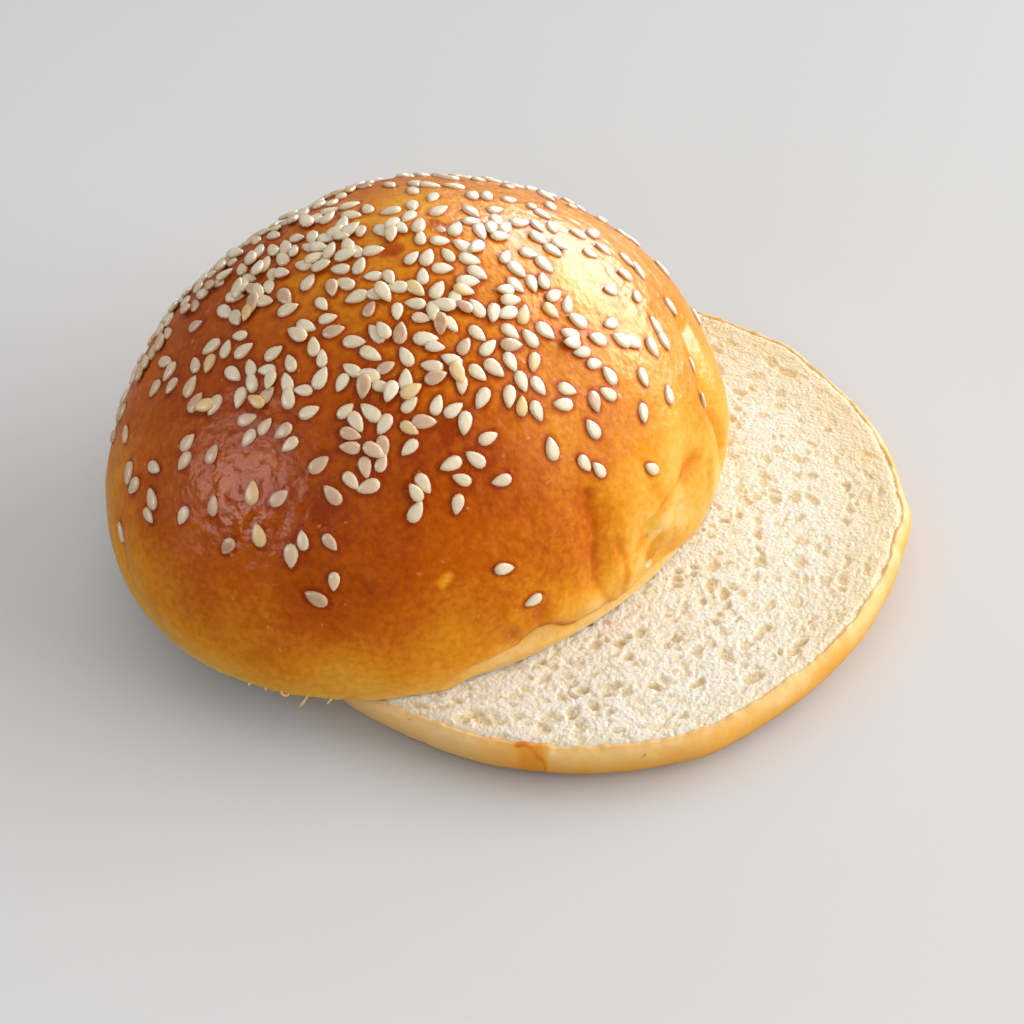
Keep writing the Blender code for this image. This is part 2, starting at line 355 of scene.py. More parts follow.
# %% Lines of the crust
LIP = ((-67, 5.5), (-64.8, 6.9), (-62.6, 6.5), (-60.3, 5.7), (-57.5, 3.6), (-55, 2.6), (-53, 2.8),
       (-50.4, 2.5), (-47.2, 2.3), (-44.4, 1.8))
FOLDS = (
    (LIP, 0.7, 0.4),
    (((9, 25), (1, 23.7), (-3.2, 20.8), (-2.8, 17.5), (-1.6, 14.7), (-2, 9)), 0.9, 0.6),
    (((-15, 15), (-20.8, 14.1), (-24.6, 14.4), (-28.2, 14.5), (-30.8, 13.5), (-33.5, 12.7)), 0.9, 0.6),
    (((-47.8, 23.7), (-48.7, 21.9), (-47.8, 19.8), (-48.5, 17.2), (-49.9, 14.5), (-50.4, 11.2),
      (-48.8, 6.5), (-44.9, 2.1)), 0.8, 0.35),
    (((-30.9, 23.2), (-31.6, 20.3), (-30.9, 17.1), (-30, 14.9)), 0.7, 0.2),
    (((-34.2, 10.7), (-37.4, 10.5), (-39.2, 8.5)), 0.7, 0.35),
    (((-30.4, 8.5), (-33.1, 7.0), (-31.2, 3.5)), 1.0, 0.4),
    (((-24, 11), (-26, 8), (-25, 4)), 0.9, 0.25),
    (((-12, 12), (-14, 7), (-11, 3)), 0.9, 0.4),
    (((-43.7, 14.5), (-42, 9), (-42.5, 4), (-41, 1)), 0.8, 0.4),
    (((-152, 12), (-147, 7), (-142, 3.5)), 1.0, 0.2),
    (((76, 15), (83, 10), (84, 6)), 1.0, 0.4),
    (((122, 13), (126, 9), (131, 5)), 1.0, 0.4),
    (((166, 20), (171, 15), (170, 11)), 1.1, 0.35),
    (((-70.6, 8.6), (-70.2, 7.6)), 0.9, 0.4),
    (((-64, 10.4), (-63.4, 9.4)), 1.2, 0.35),
)
BAND_TURNS = (-180, -88, -84, -81, -78, -73, -69, -67, -65, -62.5, -60, -57.5, -55, -53, -50, -44, -36,
              -20, -5, 180)
BAND_TOPS = (0, 0, 2.0, 4.0, 4.5, 4.8, 4.6, 5.8, 7.0, 6.8, 5.8, 3.7, 2.6, 2.9, 2.5, 1.8, 1.2, 1.2, 0.2, 0)
BAND_FADE = (-88, -72)
LIP_STEP = 0.8 * MM
CRINKLES = (((-122, 28), 11, 1.0), ((-136, 24), 6, 0.4), ((15, 38), 17, 0.5), ((-102, 31), 8, 0.4))
CRINKLE_DEPTH = 0.45
CRINKLE_LAYERS = ((2.0, 15.0, 1.0), (1.1, 16.0, 0.4))
CRINKLE_DRIFT = ((5, 17.0, 1.0),)
CRINKLE_SQUASH = (1, 1, 0.45)
RIPPLE_LAYERS = ((6.5, 2.0, 0.16), (2.6, 5.0, 0.055), (1.3, 7.0, 0.02))
EDGE_LAYERS = ((2.4, 4.4, 0.35), (0.9, 6.4, 0.25))
EDGE_LIFT = 0.9
print("folds:", len(FOLDS), "lines")

# %% [markdown]
# The pale band lies a step lower than the glazed skin, and each fold is a soft groove along
# its line. How near a point is to the nearest fold is kept, for the crust is darker there.

# %% The lip and the folds are pressed in
turns = np.degrees(heading)
band_top = np.interp(turns, BAND_TURNS, BAND_TOPS) * MM
band_top += soft_noise(dome * (1, 1, 0), 5 * MM, 8.1) * 0.3 * MM
band = smooth(-0.1 * MM, 0.6 * MM, band_top - dome[:, 2]) * smooth(*BAND_FADE, turns) * (band_top > 0.4 * MM)
push -= band * LIP_STEP
crease = np.zeros(len(dome))
for ends, width, deepest in FOLDS:
    away = distance_to_line(dome, ends) / (width * MM)
    push -= deepest * MM * np.exp(-away * away)
    crease = np.maximum(crease, np.exp(-((away / 1.7) ** 2)) * min(1, deepest / 0.5))
print("deepest fold:", round(float(push.min()) / MM, 2), "mm")

# %% [markdown]
# Fine ripples make the skin uneven, and where the wash dried thick on the left the skin is
# crinkled. The lower edge of the dome isn't straight either: it wobbles, and it lifts a
# little off the heel at the front.

# %% Ripples, crinkles and the lower edge
skin = on_skin * smooth(0, 3 * MM, dome[:, 2])
ripples = layered_noise(dome, RIPPLE_LAYERS)
crinkle = np.zeros(len(dome))
for place, width, share in CRINKLES:
    away = np.linalg.norm(dome - on_crown(*place), axis=1) / (width * MM)
    crinkle = np.maximum(crinkle, share * np.exp(-away * away))
drawn_skin = dome * CRINKLE_SQUASH + layered_noise(dome, CRINKLE_DRIFT)[:, None] * MM
ripples -= layered_noise(drawn_skin, CRINKLE_LAYERS, ridged=True) * CRINKLE_DEPTH * crinkle
push += ripples * MM * skin
shaped = dome + outward * push[:, None] * on_skin[:, None]
edge_wobble = layered_noise(dome, EDGE_LAYERS)
edge_wobble += EDGE_LIFT * smooth(-84, -76, turns) * (1 - smooth(-44, -38, turns))
shaped[:, 2] += edge_wobble * MM * (1 - smooth(0, 1.4 * MM, dome[:, 2])) * on_skin
set_points(crown, shaped)
print("skin moved by", round(float(np.abs(push).max()) / MM, 2), "mm at most")

# %% [markdown]
# How brown the crust is goes into one value on its points, called bake_and_shading: 0 is
# pale dough, 1 is the darkest glaze. The oven browns the top first. The right side is
# lighter, partly a paler bake and partly painted light where the window light falls, and
# the crust is darker along the folds.

# %% How brown the crust is, with painted light on the right
BAKE_HEIGHTS = (0, 2, 5, 9, 14, 20, 26, 36, 43, 50)
BAKE_LEFT = (0.16, 0.3, 0.42, 0.55, 0.68, 0.82, 0.9, 0.9, 0.76, 0.42)
BAKE_RIGHT = (0.12, 0.18, 0.22, 0.26, 0.3, 0.34, 0.4, 0.46, 0.46, 0.42)
# Lighter and darker spots of the crust. The small lighter one at -83.2, 20.1 is a painted highlight, where a
# dent catches the light.
SPOTS_AND_HIGHLIGHT = (
    ((-17.5, 14.3), 1.8, 0.05), ((-63.5, 10), 2.2, 0.05), ((-57, 17), 6.0, 0.06),
    ((-83.2, 20.1), 0.8, -0.4), ((-24, 10.6), 4.6, -0.26), ((-30.5, 11.4), 2.6, -0.24),
    ((-33, 14), 1.6, -0.2), ((-36.5, 7), 2.8, -0.25), ((-40.5, 10), 3.0, -0.15),
    ((-50.4, 5.6), 1.8, -0.2), ((-8, 5), 4.0, -0.15), ((-37, 21), 5.0, -0.1),
    ((-20, 20), 5.0, -0.12), ((-38, 14), 3.6, -0.12), ((-42, 3), 3.0, -0.08),
)
BAKE_LAYERS = ((11, 3.0, 0.1), (4.2, 9.0, 0.05))
BLOTCH_LAYERS = ((3, 12.0, 0.9),)
FAR_LEFT_TURN = 190
FAR_LEFT_WIDTH = 32
FAR_LEFT_PALER = 0.26
CREASE_DARKER = 0.24
LIP_DARKER = 0.24
BAND_PALER = 0.85

millimetres = dome[:, 2] / MM
# Painted light: towards the right, where the window light falls, the paler BAKE_RIGHT takes over.
rightness = np.exp(-((np.abs(np.where(turns < 0, turns, turns * 0.5)) / 60) ** 3))
far_left = np.exp(-(((turns % 360 - FAR_LEFT_TURN) / FAR_LEFT_WIDTH) ** 2))
left_bake = np.interp(millimetres, BAKE_HEIGHTS, BAKE_LEFT)
right_bake = np.interp(millimetres, BAKE_HEIGHTS, BAKE_RIGHT)
bake_and_shading = left_bake * (1 - rightness) + right_bake * rightness
bake_and_shading -= FAR_LEFT_PALER * far_left * smooth(42, 22, millimetres)
bake_and_shading += layered_noise(dome, BAKE_LAYERS)
# The crust is made darker along the folds and along the lip.
bake_and_shading += crease * CREASE_DARKER * (1 - 0.25 * rightness)
lip_away = distance_to_line(dome, [(turn, height + 0.5) for turn, height in LIP]) / (0.8 * MM)
bake_and_shading += LIP_DARKER * np.exp(-(lip_away**2))
blotch = dome + layered_noise(dome, BLOTCH_LAYERS)[:, None] * MM
for place, width, darker in SPOTS_AND_HIGHLIGHT:
    away = np.linalg.norm(blotch - on_crown(*place), axis=1) / (width * MM)
    bake_and_shading += darker * np.exp(-(away**3))
bake_and_shading = np.clip(bake_and_shading, 0.02, 1) * (1 - BAND_PALER * band * (1 - 0.5 * crease))
note(crown, "bake_and_shading", bake_and_shading)
note(crown, "crinkle", crinkle)
print("bake from", round(float(bake_and_shading.min()), 2), "to", round(float(bake_and_shading.max()), 2))
shade(crown, sharp_above=60)

# %% [markdown]
# ## Sesame seeds
#
# A seed is a flat drop with a pointed end and a fine rim. It is modelled once, with few
# faces, because hundreds of them lie on the dome. A ball with few rings is squeezed into
# that drop: flat, narrower towards its tip, and a little pulled out at the point.

# %% One seed
SEED_LENGTH = 3.3 * MM
SEED_WIDTH = 2.0 * MM
SEED_THICK = 0.95 * MM
SEED_TAPER = (0.24, 0.14)
SEED_TIP = 0.1
SEED_BULGE = (0.82, 0.12)
TIP_THINNER = 0.25

deselect()
bpy.ops.mesh.primitive_uv_sphere_add(segments=12, ring_count=6, radius=1)
seed = new_piece("sesame_seed")
drop = points_of(seed)
edge = np.hypot(drop[:, 0], drop[:, 1])
point_end = np.clip(drop[:, 0], 0, 1)
drop[:, 1] *= 1 - SEED_TAPER[0] * drop[:, 0] - SEED_TAPER[1] * point_end**3
drop[:, 0] += SEED_TIP * point_end**5
flank = np.clip(1 - edge**6, 0, 1) ** 0.6 * (SEED_BULGE[0] + SEED_BULGE[1] * edge**2)
drop[:, 2] = np.sign(drop[:, 2]) * flank * (1 - TIP_THINNER * point_end)
drop *= np.array((SEED_LENGTH, SEED_WIDTH, SEED_THICK)) / 2
seed_faces = [tuple(face.vertices) for face in seed.data.polygons]
seed_rim = smooth(0.6, 1.0, edge)
bpy.data.objects.remove(seed)
print("one seed:", len(seed_faces), "faces")

# %% [markdown]
# Where the seeds are seen, each one has its own place, because a real sprinkling has
# clumps, gaps and strays that no simple rule gives. Most are cream, some are grey or
# toasted, and a few were sunk in the dough and glazed over.

# %% Where the seen seeds lie
# Turn and rise of each seed round the crown's middle, and the turn of its tip, in degrees.
# The places were picked by eye, and a separate script turned them into these angles. About
# a quarter of the tips were drawn at random, where none had been read.
CREAM_SEEDS = (
    (-170.7, 27, 177), (-162.6, 28.2, 56), (-154.4, 25.8, 217), (-151, 25.4, 163), (-147.9, 31, 286),
    (-144.5, 26.8, 53), (-144, 24, 257), (-142.9, 38.6, 347), (-141.1, 36, 173), (-135.7, 28.5, 175),
    (-116.7, 38.3, 324), (-110, 32.5, 20), (-111.8, 29.7, 189), (-104.7, 33.1, 227), (-103.3, 26.6, 181),
    (-105.4, 40.8, 50), (-101.9, 43.6, 227), (-117.9, 47.1, 147), (-126.2, 48.1, 343),
    (-128.9, 45.3, 165), (-131.9, 47.7, 315), (-116.3, 53, 312), (-106.4, 54.7, 326), (-102.8, 53.3, 219),
    (-151.9, 15, 24), (-147.9, 44.2, 10), (-142.5, 46.4, 188), (-137.2, 50.1, 206), (-51.7, 43.1, 350),
    (-38.9, 41.9, 4), (-45.3, 37.8, 195), (-42.5, 35.1, 14), (-42.7, 48.8, 56), (-29.3, 44.7, 24),
    (-67.4, 49.2, 278), (-71.9, 46.2, 42), (-78.2, 46.2, 105), (-76.2, 43.3, 60), (-66.8, 41.5, 87),
    (-78.1, 39.3, 162), (-85.4, 43.5, 210), (-87.3, 42, 31), (-87.5, 38.7, 331), (-70.5, 25.8, 257),
    (-65.3, 17.4, 105), (-65.3, 56, 135), (-57, 54.7, 152), (-51.1, 50.4, 182), (-79.7, 56.3, 336),
    (-75.1, 55.1, 294), (-72.5, 52.7, 160), (-88.2, 49.6, 133), (-95, 53.4, 153), (-95, 49.8, 193),
    (-97.4, 48.9, 244), (-95.2, 46.9, 343), (-99, 46.1, 195), (-97.8, 42.9, 114), (-99.1, 55.1, 55),
    (-87.9, 56.7, 314), (-17.5, 41.1, 150), (-24.1, 37.1, 138), (-14.4, 34.3, 315), (-29.6, 27.9, 32),
    (0.6, 29.7, 113), (-8.1, 41.7, 167), (-0.6, 41.6, 320), (-2.8, 39.3, 150), (-14, 48.2, 13),
    (-12, 46.1, 196), (-19.6, 52.2, 29), (-11.9, 51.3, 48), (-19.6, 57, 15), (-25.8, 56.8, 25),
    (-28.3, 55.8, 47), (-27.4, 53.3, 52), (-26.8, 50.3, 233), (-25.4, 46.6, 359), (-39.2, 50.6, 217),
    (-51.1, 56.1, 169), (-46.8, 54, 188), (-51.1, 59.9, 178), (-39.1, 61.3, 359), (-32.1, 60.6, 186),
    (-17, 62.8, 245), (-17.1, 60, 292), (4.5, 46.5, 258), (-0.3, 52.8, 30), (10.1, 49, 10),
    (12.4, 35.7, 150), (21.5, 57.3, 352), (25, 52.8, 212), (11.8, 56.6, 181), (17.6, 52.7, 343),
    (18.4, 46.8, 144), (16.8, 44, 128), (-163.1, 38.5, 188), (-158.6, 42.1, 200), (-163.4, 42.5, 196),
    (-152.8, 45.1, 19), (-167.8, 41.9, 315), (-157.1, 47.8, 77), (-158, 51.9, 170), (-152.7, 53.9, 45),
    (-147, 56.1, 351), (-152.8, 57.2, 133), (-170.5, 49.9, 343), (-166.9, 56.4, 295), (-161, 58, 272),
    (-158.9, 63.7, 313), (-146.8, 66.1, 333), (-152.4, 71.6, 35), (-134.8, 70.5, 256),
    (-126.9, 68.8, 311), (-133.3, 65.9, 281), (-133.1, 63.9, 93), (-110.4, 66.5, 283), (-102.5, 65, 252),
    (-124.7, 63.4, 37), (-119.5, 62.1, 27), (-136.7, 59.1, 337), (-128.7, 59.2, 54), (-117, 58.9, 358),
    (-107.6, 61.7, 72), (-101.7, 61.3, 88), (-109.7, 59.3, 171), (-96.8, 59.7, 265), (-93.7, 58.9, 163),
    (-101.7, 68.6, 47), (-93, 73, 183), (-119.1, 74.3, 139), (-107.7, 75.7, 282), (-94.3, 77.5, 91),
    (-102.4, 79.2, 214), (-116.3, 78.9, 115), (-132.3, 75.7, 93), (-146, 77.2, 130), (-135.2, 79.6, 25),
    (-139.8, 83.2, 325), (-153.9, 81.2, 88), (-155.3, 79.2, 342), (-161.6, 75.8, 64), (-166.7, 72.2, 133),
    (179.2, 73.5, 144), (168.9, 62.7, 92), (-179.1, 68.5, 116), (-171.2, 66.4, 266), (-176.2, 61.7, 325),
    (-164.9, 65.4, 264), (-172.7, 61.1, 88), (-170.6, 58.8, 331), (176.9, 55, 318), (167.7, 56.2, 143),
    (166.4, 48, 90), (169.4, 43, 309), (-179, 49.9, 98), (178.1, 51.4, 134), (-177.4, 42.7, 107),
    (-143.9, 52.2, 275), (-140.2, 54.9, 62), (-136.7, 53.2, 53), (-134.8, 56.3, 123), (-131.6, 55.3, 201),
    (-126.3, 56.1, 45), (-120.4, 56.1, 109), (-123.7, 54, 29), (149.7, 64, 197), (151, 71.9, 329),
    (171.6, 73.9, 287), (125.4, 68.5, 160), (172.8, 82.5, 278), (145.3, 78.4, 14), (179.1, 86.2, 309),
    (164.6, 89.2, 323), (114.8, 83.8, 251), (131, 79.8, 162), (101.3, 72.1, 14), (169.4, 45.1, 107),
    (-178.8, 48.3, 331), (-175.9, 41, 79), (167.6, 50.9, 133), (176.1, 56.6, 31), (168.6, 54.6, 97),
    (176, 60, 111), (164.9, 56.9, 346), (172.8, 61.9, 103), (159, 59.8, 131), (179.7, 65, 72),
    (154.3, 59.9, 354), (160.1, 64.3, 334), (172.4, 68.6, 106), (172.3, 66.2, 120), (178.7, 70.7, 92),
    (-176.3, 75.3, 330), (-167.6, 77.2, 56), (-167.5, 74.3, 7), (-156.6, 74.8, 341), (167.7, 70.4, 346),
    (176.2, 76.5, 338), (171.9, 78, 37), (-177.4, 64.2, 79), (-168.2, 68.2, 321), (-171.5, 60, 54),
    (-164.5, 63.5, 86), (154.8, 70.6, 144), (151.2, 74.4, 86), (149.9, 66.2, 121), (154.7, 63.4, 337),
    (132.7, 69.8, 118), (133.4, 75.1, 58), (160.5, 78.6, 97), (171.8, 80.7, 41), (-165.9, 80.3, 91),
    (179.2, 79.4, 336), (142.3, 72.7, 45), (136.3, 60.9, 347), (135.6, 67.4, 120), (171.2, 48.8, 95),
    (172, 42.1, 114), (176.8, 42.1, 80), (-175.9, 38.4, 78), (-174.3, 36.8, 90), (-173, 35, 66),
    (65.6, 71.2, 304), (78.7, 73.1, 91), (87.1, 72.5, 18), (87, 76.8, 195), (67.4, 79.1, 7),
    (45, 82.6, 175), (82.6, 83, 16), (82, 86.6, 339), (31, 77.6, 96), (17.2, 78.8, 178), (3.6, 81.8, 249),
    (51.1, 72.6, 209), (46.9, 70.5, 223), (41.1, 66.9, 175), (31.3, 72.7, 189), (19.5, 74.1, 92),
    (5.1, 77.7, 105), (9.8, 75.8, 78), (12.1, 73.2, 235), (3, 74.5, 196), (20, 69.8, 187),
    (19.6, 66.4, 113), (21.3, 63.1, 260), (36.1, 63.3, 222), (30.1, 63, 121), (38.7, 57.5, 231),
    (10.5, 67.2, 151), (-1.7, 69.2, 191), (5.3, 64.7, 157), (9.3, 63.5, 158), (-4.7, 66.2, 153),
    (-11.3, 72.9, 262), (-15.5, 70.5, 160), (-24.8, 69.3, 173), (-31.3, 70, 46), (-34.3, 68.3, 229),
    (-18, 67.1, 129), (-14.1, 65.5, 296), (-39.6, 67, 73), (-45, 68.4, 130), (-50.8, 70.4, 4),
    (-59.5, 73.3, 141), (-66.6, 75.9, 313), (-73.1, 79.1, 345), (-44.3, 75.3, 235), (-34.3, 75.4, 188),
    (-19.1, 79.9, 353), (-14.7, 77.9, 69), (-28.4, 77.9, 201), (-38.3, 80.9, 344), (-59.9, 82.5, 316),
    (-79.4, 83.1, 312), (-53.7, 79.5, 241), (-26.1, 83.7, 211), (16.2, 87.7, 244), (-43.2, 86.5, 315),
    (160, 87.8, 253), (-150.5, 87.4, 242), (-82.2, 74.2, 72), (-80.6, 71.5, 251), (-73.5, 72.4, 165),
    (-67, 72.9, 62), (-67, 69.5, 203), (-80.2, 67.8, 263), (-77, 66.1, 250), (-57.4, 66.6, 203),
    (-44.2, 64.3, 193), (-56.3, 63.6, 289), (-71.4, 63.4, 55), (-79.1, 62.9, 71), (-88.5, 64.9, 27),
    (-70.4, 59.1, 163), (-64, 60.3, 210), (-57.8, 60.1, 205), (-88.8, 60.9, 359), (-98.5, 69, 37),
    (-102.9, 75.9, 227),
)
GREY_SEEDS = (
    (-135.6, 39.7, 5), (-130, 32.7, 13), (-124.4, 27.8, 159), (-106.3, 23.1, 67), (-109.8, 45.2, 322),
    (-120.7, 48.7, 144), (-103.7, 51.1, 263), (-103, 48.9, 93), (-34, 45.6, 154), (-84, 53.8, 265),
    (-153.7, 67.1, 269), (-121, 67.2, 313), (-102.4, 59.3, 182), (-96, 63, 305), (-108.6, 72.7, 350),
    (-91, 69, 356), (-137.5, 73.8, 234), (-130.3, 52.7, 346), (177.1, 53.4, 127), (-168.3, 62.5, 121),
    (-160.7, 62, 235), (-56.8, 71.5, 29), (-47.5, 62.3, 241), (-65, 65.2, 310), (-78.9, 60.9, 283),
)
TOASTED_SEEDS = (
    (-122.6, 37.5, 16), (-118.9, 31.3, 27), (-144.2, 45.3, 141), (-54.8, 52.2, 332), (-88.2, 52.8, 238),
    (-43.3, 57.8, 130), (-23.8, 62, 176), (-34.3, 65, 300), (-153.7, 50.2, 219), (-158.5, 60.3, 226),
    (-131.5, 51.1, 92), (-51.4, 74.2, 229), (-81.3, 77.1, 217), (-87.3, 59, 299), (-70.9, 61.1, 191),
)
SUNK_SEEDS = (
    (-107.8, 37.7, 211), (-77.9, 51.6, 350), (-113.9, 84.8, 128), (8.3, 84.5, 306), (-71.6, 70, 166),
)
print("tables:", len(CREAM_SEEDS), "cream,", len(GREY_SEEDS), "grey,", len(TOASTED_SEEDS), "toasted")

# %% [markdown]
# A ray from outside finds the crust under each seed. The seed lies flat on it, turned by
# its own angle, and where seeds meet, the later one lies higher and tips over the others.
# Seeds low on the left were brushed with more wash, so their tone is a darker tan.

# %% Lay the seen seeds on the crust
CREAM_TONES = (0.0, 0.5)
GLAZED_TURN = -92
GLAZED_RISE = 50
GLAZED_TONE = 0.52
GLAZED_SHIFT = 0.3
SEED_KINDS = (
    (CREAM_SEEDS, *CREAM_TONES, 0.12),
    (GREY_SEEDS, 0.78, 0.86, 0.12),
    (TOASTED_SEEDS, 0.93, 1.0, 0.12),
    (SUNK_SEEDS, 0.89, 0.91, -0.4),
)
SEED_SIZES = (0.83, 1.07)
SEED_CLEAR = 2.3
SEED_TOUCH = 1.2
SEED_PILE = 0.75
SEED_NOD = 5
PILE_NOD = 11
RAY_START = 200 * MM
draw = random.Random(23)
surface = ray_surface(shaped, crown)
lain = []


def aim_at(turn, rise):
    """Direction from the crown's middle, from a turn and a rise in degrees."""
    turn, rise = math.radians(turn), math.radians(rise)
    return Vector((math.cos(turn) * math.cos(rise), math.sin(turn) * math.cos(rise), math.sin(rise)))


def lay_seed(turn, rise, tip, size, tone, lift):
    """Lay a seed on the crust, a little higher where it meets others."""
    aim = aim_at(turn, rise)
    spot, normal, _, _ = surface.ray_cast(aim * RAY_START, -aim)
    north = aim_at(turn, rise + 90)
    north = (north - normal * north.dot(normal)).normalized()
    heading = Matrix.Rotation(math.radians(tip), 3, normal) @ north
    apart = min([(spot - other[0]).length / MM for other in lain] + [SEED_CLEAR])
    pile = max(0, 1 - (apart - SEED_TOUCH) / (SEED_CLEAR - SEED_TOUCH)) if apart < SEED_CLEAR else 0
    lift = (lift + SEED_PILE * min(1, pile)) * MM
    nod = draw.uniform(-SEED_NOD, SEED_NOD) + pile * draw.choice((-PILE_NOD, PILE_NOD))
    lain.append((spot, normal, heading, size, tone, nod, lift))


for places, low_tone, high_tone, lift in SEED_KINDS:
    for turn, rise, tip in places:
        tone = draw.uniform(low_tone, high_tone)
        if high_tone == CREAM_TONES[1] and turn < GLAZED_TURN and rise < GLAZED_RISE:
            tone = GLAZED_TONE + GLAZED_SHIFT * draw.random()
        lay_seed(turn, rise, tip, draw.uniform(*SEED_SIZES), tone, lift)
print("seen seeds:", len(lain))

# %% [markdown]
# The far side was sprinkled by the same hand, so a seeded random rule goes on there with
# the same density: full in an oval round the top, thinning out towards its edge, with
# clumps from a noise. A seed that would land on another is left out.

# %% The sprinkling on the far side
SEED_TRIES = 6000
FAR_SIZES = (0.86, 1.1)
FAR_APART = 1.9
FAR_LIFT = 0.12
FAR_LIMIT = 205
FAR_VIEW = Vector((0.04, -0.73, 0.68))
FAR_LOWEST = 17
FAR_SIDE_LIMIT = 0.08
SHOULDER_LIMIT = 0.38
BACK_LIMIT = 0.24
PATCH_CENTRE = (-7 * MM, 4 * MM)
PATCH_RADII = (36 * MM, 42 * MM)
PATCH_SOFTNESS = 0.14
STRAYS = 0.03
CLUMP_SIZE = 6.5 * MM
CLUMP_PLACE = Vector((4, 1, 7))


def seed_share(place):
    """Share of the full sprinkling of seeds that lies round a place of the dome."""
    across = (place.x - PATCH_CENTRE[0]) / PATCH_RADII[0]
    along = (place.y - PATCH_CENTRE[1]) / PATCH_RADII[1]
    inner = 1 - math.hypot(across, along)
    clumps = 0.6 + noise.noise(place / CLUMP_SIZE + CLUMP_PLACE)
    return max(0, min(1, clumps)) / (1 + math.exp(-inner / PATCH_SOFTNESS)) + STRAYS


added = 0
for attempt in range(SEED_TRIES):
    turn, rise = draw.uniform(-180, 180), math.degrees(math.asin(draw.random()))
    chance, tip = draw.random(), draw.uniform(0, 360)
    size, tone = draw.uniform(*FAR_SIZES), draw.random()
    aim = aim_at(turn, rise)
    spot, normal, _, _ = surface.ray_cast(aim * RAY_START, -aim)
    on_shoulder = spot.x < 0 and spot.y > -8 * MM
    on_back = spot.x >= 0 and spot.y > 8 * MM
    limit = SHOULDER_LIMIT if on_shoulder else BACK_LIMIT if on_back else FAR_SIDE_LIMIT
    seen = normal.dot(FAR_VIEW) > limit
    if added >= FAR_LIMIT or seen or spot.z < FAR_LOWEST * MM or chance > seed_share(spot):
        continue
    if min((spot - other[0]).length for other in lain) < FAR_APART * MM:
        continue
    lay_seed(turn, rise, tip, size, tone if tone < 0.88 else 0.95, FAR_LIFT)
    added += 1
print("far seeds:", added)

# %% [markdown]
# Round each seed the crust is darker: partly wash that gathered there and baked darker,
# partly painted contact shade. Every point of the crust looks up the seeds near it, and the
# closer it is to a seed's oval outline, the browner it gets.

# %% Glaze and painted shade round the seeds
SEED_RING_LOWEST = 10
SEED_RING_REACH = 3
SEED_RING_EDGE = (0.95, 1.6)
SEED_RING_GLAZE_AND_SHADE = 0.34
seats = KDTree(len(lain))
for number, seat in enumerate(lain):
    seats.insert(seat[0], number)
seats.balance()
glaze_and_shade_ring = np.zeros(len(shaped))
for index in np.flatnonzero(shaped[:, 2] > SEED_RING_LOWEST * MM):
    spot = Vector(shaped[index])
    for _, number, _ in seats.find_range(spot, SEED_RING_REACH * MM):
        middle, normal, heading, size = lain[number][:4]
        away = (spot - middle) / size
        along = away.dot(heading) / SEED_LENGTH * 2
        across = away.dot(normal.cross(heading)) / SEED_WIDTH * 2
        glaze_and_shade_ring[index] = max(glaze_and_shade_ring[index], 1 - smooth(*SEED_RING_EDGE, math.hypot(along, across)))
# The ring adds glaze and painted contact shade to the bake_and_shading value.
bake_with_seed_shade = np.clip(bake_and_shading + SEED_RING_GLAZE_AND_SHADE * glaze_and_shade_ring, 0, 1).astype(np.float32)
crown.data.attributes["bake_and_shading"].data.foreach_set("value", bake_with_seed_shade)
print("points with gathered glaze:", int((glaze_and_shade_ring > 0).sum()))

# %% [markdown]
# All seeds become one piece. Each copy of the drop is moved, turned and sized by one
# matrix, and notes its own tone and where its rim is, for the material to read.

# %% All seeds as one piece
seed_points, all_faces, seed_tone, rim_values = [], [], [], []
for spot, normal, heading, size, tone, tip_down, lift in lain:
    lie = Matrix((heading, normal.cross(heading), normal)).transposed().to_4x4()
    nod = Matrix.Rotation(math.radians(tip_down), 4, "Y")
    place = Matrix.Translation(spot + normal * lift) @ lie @ nod @ Matrix.Scale(size, 4)
    place = CROWN_PLACE @ place
    first = len(seed_points)
    seed_points += [place @ Vector(row) for row in drop]
    all_faces += [tuple(first + corner for corner in face) for face in seed_faces]
    seed_tone += [tone] * len(drop)
    rim_values += list(seed_rim)
seeds_mesh = bpy.data.meshes.new("sesame_seeds")
seeds_mesh.from_pydata(seed_points, [], all_faces)
seeds = bpy.data.objects.new("sesame_seeds", seeds_mesh)
scene.collection.objects.link(seeds)
note(seeds, "tone", np.array(seed_tone))
note(seeds, "rim", np.array(rim_values))
shade(seeds)
print("seeds piece:", count_triangles(seeds), "triangles")

# %% [markdown]
# The crown is finished in its own place, its cut face level, because heights on it are
# easy to read there. Only now is it tipped and moved onto the heel, and the move is put
# into its mesh, so that the piece itself stays at the origin.

# %% Put the crown on the heel
crown.data.transform(CROWN_PLACE)
print("crown's highest point:", round(points_of(crown)[:, 2].max() / MM, 1), "mm")

# %% [markdown]
# ## Crumb
#
# The cut shows the inside of the loaf: a soft white sponge whose bubbles were opened by
# the knife. A flat grid, bent into the bun's outline, takes one height for each point.
# Every bubble is a small oval pit, pits may overlap, and fine noise between them is the
# torn fluff. The grid is finer where the cut is seen.

# %% A sheet of crumb
PIT_RANK = 2.2
PIT_WIDTHS = (0.42, 0.85)
PIT_DEPTHS = (0.7, 1.2)
BUBBLE_WALL = (0.04, 0.42)


def crumb_sheet(name, across, along, finer_x, finer_y):
    """A square grid with a skirt, closed below, still of size 2 and at the origin."""
    deselect()
    bpy.ops.mesh.primitive_grid_add(x_subdivisions=across, y_subdivisions=along, size=2)
    sheet = new_piece(name)
    rows = points_of(sheet)
    rows[:, 0] += finer_x * (1 - rows[:, 0] ** 2) / 2
    rows[:, 1] += finer_y * (1 - rows[:, 1] ** 2) / 2
    set_points(sheet, rows)
    bpy.ops.object.mode_set(mode="EDIT")
    bpy.ops.mesh.select_mode(type="EDGE")
    bpy.ops.mesh.select_all(action="DESELECT")
    bpy.ops.mesh.select_non_manifold()
    bpy.ops.mesh.extrude_region_move(TRANSFORM_OT_translate={"value": (0, 0, -1)})
    bpy.ops.mesh.edge_face_add()
    deselect()
    return sheet


